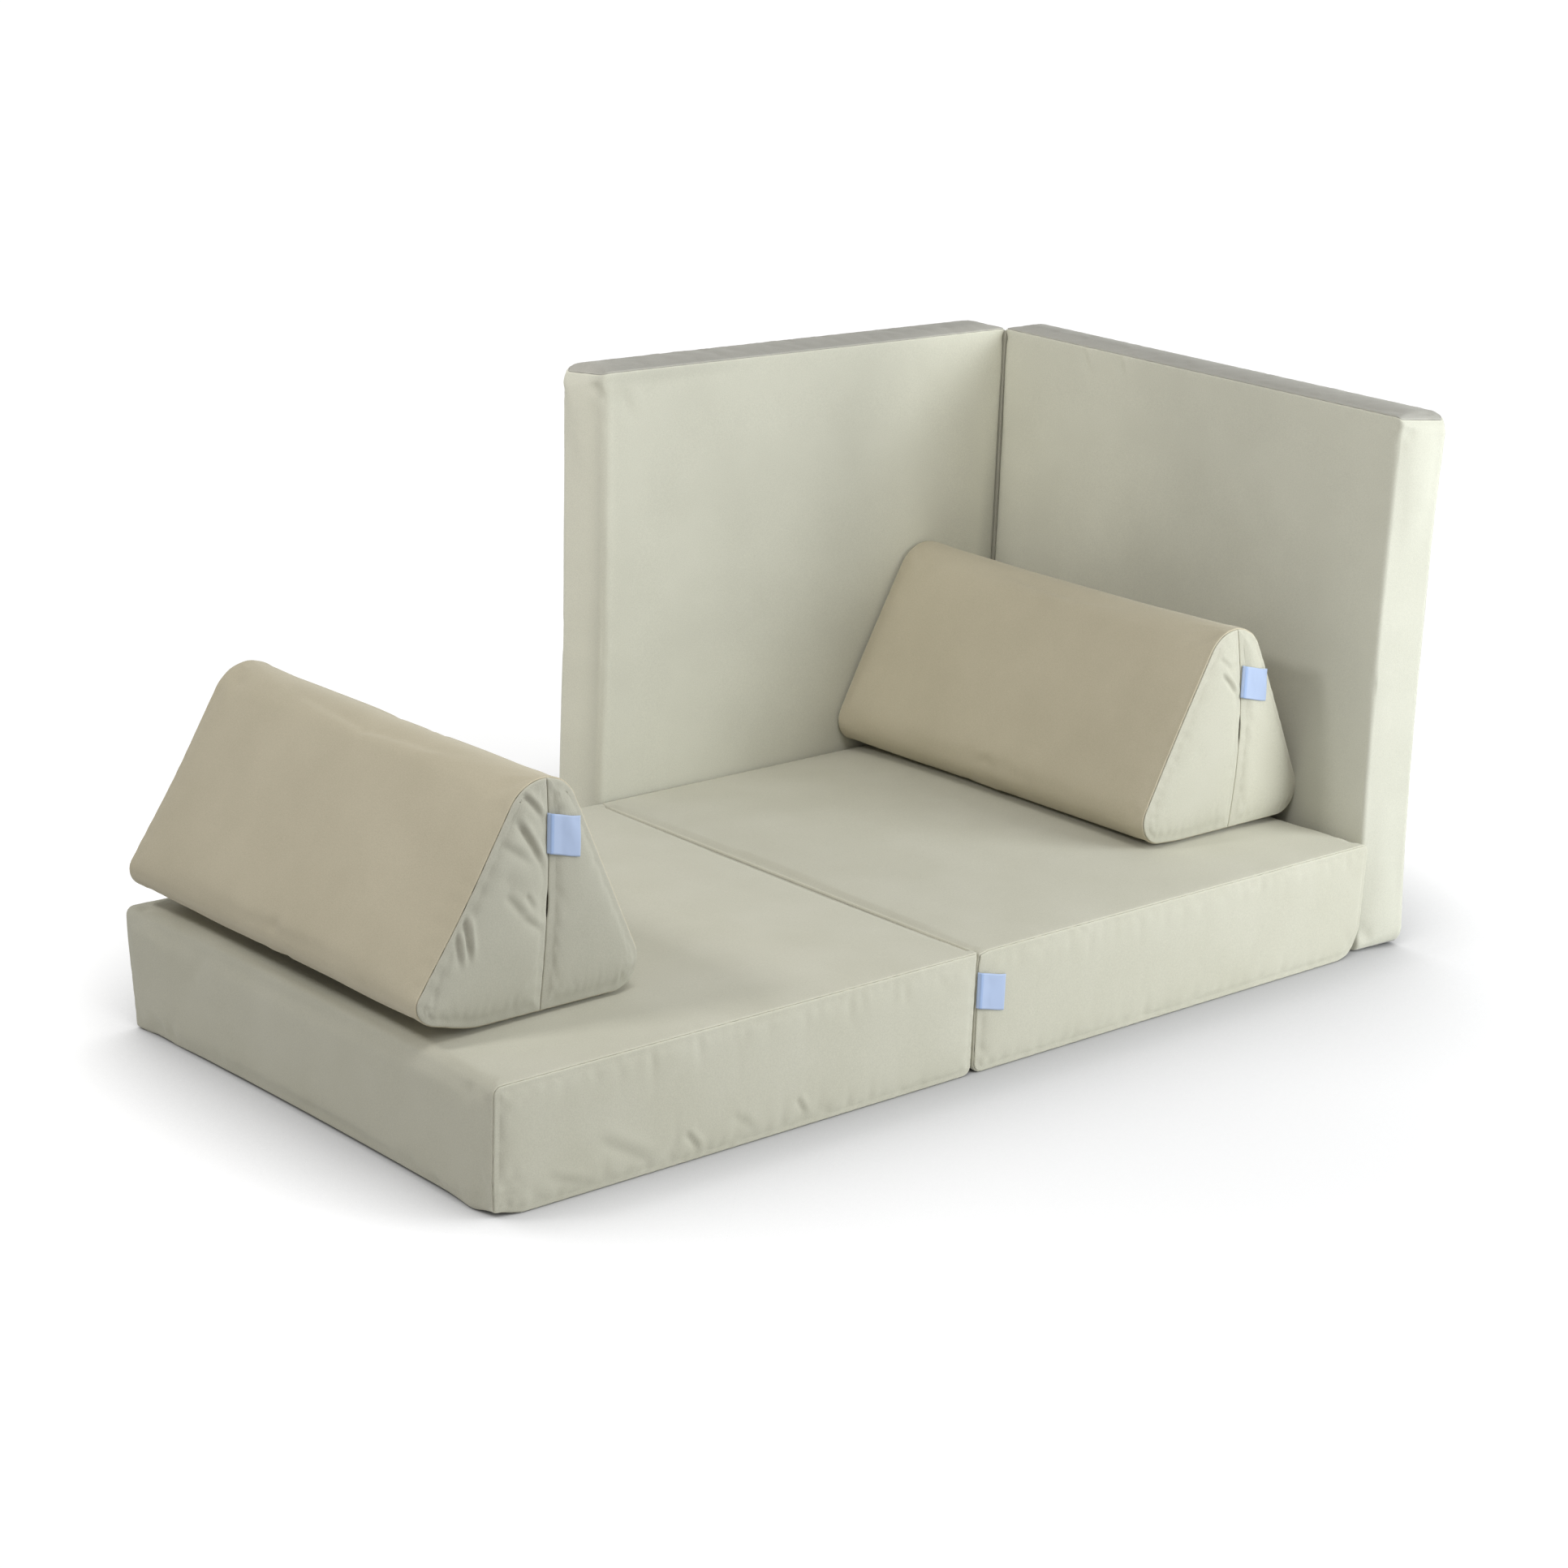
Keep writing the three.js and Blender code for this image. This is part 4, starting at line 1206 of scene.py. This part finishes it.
# Painted light over the rear mat, painted shade along its top and painted shadow towards the inner corner
back["back_rear"].painted_light_patches = [
    ((-50, 325, 400), (62, 70, 760), 0.36),
    ((560, 272, 430), (250, 40, 400), 0.32),
    ((160, 272, 190), (220, 30, 130), 0.1),
    ((60, 304, 604), (160, 60, 14), -0.1),
    ((569, 272, 200), (36, 30, 400), -0.34),
]
# Painted light high on the side mat, and the right pillow's painted shadow below
back["back_side"].painted_light_patches = [
    ((567, 190, 490), (40, 240, 280), 0.15),
    ((567, -225, 250), (40, 130, 200), -0.11),
]
# Painted light on the right half of the right pillow's near end
pillows["right_pillow"].painted_light_patches = [((505, -224, 230), (50, 30, 170), 0.13)]

for cushion in mats.values():
    cushion.settle()
# Pillows are stuffed tighter
for cushion in pillows.values():
    cushion.settle(growth=0.003)

# The panels at each mat's first and last station, and each panel's bulge, velvet and mesh step
MAT_ENDS = {
    "seat_left": ("rear", "front"), "seat_right": ("front", "rear"),
    "back_rear": ("top", "bottom"), "back_side": ("bottom", "top"),
}
# The back's top and bottom panels take the darker copy of the velvet, painted shade
PANELS = {
    "front": (PANEL_BULGE, VELVET, FRONT_STEP), "rear": (PANEL_BULGE, VELVET, FINE_STEP),
    "top": (PANEL_BULGE, VELVET_PAINTED_SHADE_BACK_ENDS, FINE_STEP), "bottom": (0, VELVET_PAINTED_SHADE_BACK_ENDS, FINE_STEP),
}
near_ends = {}
for name, cushion in mats.items():
    module_pieces(cushion, MAT_FILL)
    for end, side in enumerate(MAT_ENDS[name]):
        panel = whole_panel(cushion, f"{name}_{side}_velvet", end, *PANELS[side])
        hand_over(panel, name, f"{name}_{side}_panel", MAT_FILL)
        if side == "front":
            near_ends[name] = [panel]
for name, cushion in mats.items():
    start = np.array([MAT_ZIP_DEPTH, ZIP_MARGIN, cushion.thickness / 2])
    axes = np.array([(0, 1, 0), (0, 0, 1), (-1, 0, 0)]) @ cushion.axes[:3]
    origin = cushion.to_row(start[None])[0]
    chain = zip_chain(name + "_zip_chain", origin, axes, cushion.width - 2 * ZIP_MARGIN, MAT_ZIP_HALF)
    hand_over(chain, name, name + "_zip")


def pillow_seam(bend, gaps):
    """Seam of a pillow's near end: a bowed line that gapes where the label's pull opens it."""
    def line(foot, top, share, side):
        points = foot + (top - foot) * share[:, None]
        points[:, 0] += bend * bow(share)
        low, high, most = gaps
        open_ = most * ease((share - low) / 0.06) * ease((high - share) / 0.06)
        points[:, 0] -= side * (open_ - SEAM_CLOSED) / 2
        return points
    return line


# Each pillow's seam, the place of its zip across, and the velvet of its near end
# The left pillow's near end takes a darker copy of the velvet, painted shade
SEAMS = {
    "left_pillow": (pillow_seam(6.5 * MM, (0.38, 0.53, 1.8 * MM)), -490 * MM, VELVET_PAINTED_SHADE_NEAR_END),
    "right_pillow": (pillow_seam(10.5 * MM, (0.4, 0.57, 1.6 * MM)), 466.5 * MM, VELVET),
}
for name, cushion in pillows.items():
    seam, seam_x, velvet = SEAMS[name]
    near_ends[name] = []
    module_pieces(cushion, PILLOW_FILL)
    far = whole_panel(cushion, f"{name}_far_velvet", 1, PILLOW_BULGE, VELVET)
    hand_over(far, name, f"{name}_far_panel", PILLOW_FILL)
    for side in ("left", "right"):
        half = half_panel(cushion, f"{name}_near_{side}_velvet", side == "left", seam, velvet)
        near_ends[name].append(half)
        hand_over(half, name, f"{name}_near_panel_{side}", PILLOW_FILL)
    low, high = (Vector(corner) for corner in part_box(name + "_zip"))
    sunk = cushion.axes[3][1] + PILLOW_ZIP_DEPTH
    axes = [(0, 0, 1), (1, 0, 0), (0, -1, 0)]
    chain = zip_chain(name + "_zip_chain", (seam_x, sunk, low.z), axes, high.z - low.z, PILLOW_ZIP_HALF)
    hand_over(chain, name, name + "_zip")
    slider = zip_slider(name + "_zip_slide", (seam_x, sunk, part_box(name + "_zip_slider")[0].z))
    hand_over(slider, name + "_zip_slider", name + "_zip_slider")

for name, body, corner, size, droop in (
    ("seat", "seat_right", (-33.5, -335.4, 71.5), (34, 38), 10),
    ("left_pillow", "left_pillow", (-495.5, -229.4, 294), (35, 39), 11),
    ("right_pillow", "right_pillow", (460.5, -225.2, 288.5), (36, 36), 11),
):
    width, height = size
    label = ribbon_label(
        name + "_satin_ribbon", np.array(corner) * MM, width * MM, height * MM, droop * MM,
        near_ends[body])
    hand_over(label, body, name + "_label")

# Strips of velvet that join the halves along their folds
seat_path = [(FOLD_X + x * MM, -321.4 * MM, FOLD_HIGH + z * MM) for x, z in (
    (1.3, -13.5), (1.2, -8), (1.1, -4), (1, -1.9), (0.6, -0.6), (0, -0.3), (-0.6, -0.6), (-1, -1.9),
    (-1.1, -4), (-1.2, -8), (-1.3, -13.5),
)]
# The seat's strip is painted paler, painted light in its groove
fold_strip(
    "seat_fold_strip", "seat_fold_tape", seat_path, (0, 578 * MM, 0), 0.7 * MM, 0.15)
back_path = [(CORNER_X + x * MM, CORNER_Y + y * MM, 6 * MM) for x, y in (
    (-0.1, 13.6), (-0.1, 8), (-0.1, 4), (-0.1, 1.9), (-0.1, 0.7), (0.13, 0.13), (0.7, -0.1),
    (1.9, -0.1), (4, -0.1), (8, -0.1), (9.5, -0.1),
)]
# The back's strip is painted darker, painted shade in the inner corner
fold_strip(
    "back_fold_strip", "back_fold_tape", back_path, (0, 0, 599 * MM), 0.6 * MM, -0.14)

# Floor, light and camera
def studio_floor():
    """Matt white studio floor with a faint grain. The camera sees it as the white backdrop, and it
    keeps the sofa's shadow."""
    material, tree, place, surface = new_material("studio_floor")
    grain = add_node(tree, "ShaderNodeTexNoise", {"Vector": place, "Scale": 6.0, "Detail": 4.0})
    colour = add_node(tree, "ShaderNodeMix", {
        "Factor": grain, 6: srgb("#e4e4e4"), 7: srgb("#e9e9e9"),
    }, data_type="RGBA").outputs[2]
    paint = add_node(tree, "ShaderNodeBsdfDiffuse", {"Color": colour})
    # What the camera sees is a third of the lit paint, and a glow that dims where the sofa stands close
    third = add_node(tree, "ShaderNodeBsdfDiffuse", {"Color": srgb("#8a8a8a")})
    near = add_node(tree, "ShaderNodeAmbientOcclusion", {"Distance": 0.45}, samples=16).outputs["AO"]
    shade = add_node(tree, "ShaderNodeMath", {0: near, 1: 1.6}, operation="POWER")
    # The lamps leave the floor darker at its two sides
    slope = add_node(tree, "ShaderNodeVectorMath", {0: place, 1: (-0.1, 0.05, 0)}, operation="DOT_PRODUCT")
    square = add_node(tree, "ShaderNodeVectorMath", {0: place, 1: place}, operation="MULTIPLY")
    bowl = add_node(tree, "ShaderNodeVectorMath", {0: square, 1: (0.5, 0, 0)}, operation="DOT_PRODUCT")
    sides = {0: slope.outputs["Value"], 1: bowl.outputs["Value"]}
    sides = add_node(tree, "ShaderNodeMath", sides, operation="ADD")
    level = add_node(tree, "ShaderNodeMath", {0: sides, 1: 0.76}, operation="ADD")
    bright = add_node(tree, "ShaderNodeMath", {0: shade, 1: level}, operation="MULTIPLY")
    glow = add_node(tree, "ShaderNodeEmission", {"Color": WHITE, "Strength": bright})
    lit = add_node(tree, "ShaderNodeAddShader", {0: third, 1: glow})
    # Beyond the shadow the floor fades to the white backdrop
    away = add_node(tree, "ShaderNodeVectorMath", {0: place}, operation="LENGTH").outputs["Value"]
    fade = add_node(tree, "ShaderNodeMapRange", {
        "Value": away, "From Min": 0.8, "From Max": 1.4,
    }, interpolation_type="SMOOTHSTEP")
    backdrop = add_node(tree, "ShaderNodeEmission", {"Color": WHITE, "Strength": 1.05})
    seen = add_node(tree, "ShaderNodeMixShader", {0: fade, 1: lit, 2: backdrop})
    add_node(tree, "ShaderNodeMixShader", {0: seen_ray(tree), 1: paint, 2: seen}, surface)
    return material


def seen_ray(tree):
    """1 for rays from the camera, in a reflection or through glass, and otherwise 0."""
    path = add_node(tree, "ShaderNodeLightPath").outputs
    seen = path["Is Camera Ray"]
    for way in ("Is Glossy Ray", "Is Transmission Ray"):
        seen = add_node(tree, "ShaderNodeMath", {0: seen, 1: path[way]}, operation="MAXIMUM")
    return seen


WHITE = srgb("#ffffff")
FLOOR_REACH = 30
ground = [(-FLOOR_REACH, -FLOOR_REACH, 0), (FLOOR_REACH, -FLOOR_REACH, 0),
          (FLOOR_REACH, FLOOR_REACH, 0), (-FLOOR_REACH, FLOOR_REACH, 0)]
floor = mesh_object("studio_floor", ground, [(0, 1, 2, 3)], [studio_floor()])

# Softboxes that face a target: place, target, width, height, watts and colour
for name, place, target, width, height, power, colour in (
    ("front_right_softbox", (1.4, -1.9, 0.9), (0.4, 0, 0.3), 1.2, 1.2, 47.0, "#f7fcff"),
    ("front_left_softbox", (-1.6, -1.8, 2.2), (0.4, 0.2, 0.3), 1.0, 1.0, 6.5, "#fff8ee"),
    ("rear_softbox", (0.2, 2.7, 1.0), (0.1, 0.3, 0.3), 1.4, 1.0, 17.5, "#fffdf8"),
    ("overhead_softbox", (-0.6, -1.0, 2.2), (0.5, 0.2, 0.35), 0.8, 0.8, 17.5, "#ffffff"),
    ("left_key", (-1.68, 0.26, 1.62), (0.44, -0.2, 0.3), 0.3, 0.3, 12.5, "#ffffff"),
):
    data = bpy.data.lights.new(name, "AREA")
    data.shape = "RECTANGLE"
    data.size, data.size_y = width, height
    data.energy = power
    data.color = srgb(colour)[:3]
    made = bpy.data.objects.new(name, data)
    made.location = place
    made.rotation_euler = (Vector(target) - Vector(place)).to_track_quat("-Z", "Y").to_euler()
    scene.collection.objects.link(made)

world = bpy.data.worlds.new("studio")
world.use_nodes = True
tree = world.node_tree
tree.nodes.clear()
soft = add_node(tree, "ShaderNodeBackground", {"Color": WHITE, "Strength": 0.255})
white = add_node(tree, "ShaderNodeBackground", {"Color": WHITE, "Strength": 1.0})
both = add_node(tree, "ShaderNodeMixShader", {0: seen_ray(tree), 1: soft, 2: white})
add_node(tree, "ShaderNodeOutputWorld", {"Surface": both})
scene.world = world

lens = bpy.data.cameras.new("camera")
lens.sensor_width, lens.lens = 36, 82.5
lens.clip_end = 100
camera = bpy.data.objects.new("camera", lens)
camera.matrix_world = Matrix((
    (0.750581, 0.169472, -0.638676, -2.42776),
    (-0.659874, 0.242801, -0.711066, -2.70180),
    (0.034565, 0.955158, 0.294072, 1.33230),
    (0, 0, 0, 1),
))
scene.collection.objects.link(camera)
scene.camera = camera
scene.view_settings.view_transform = "Standard"
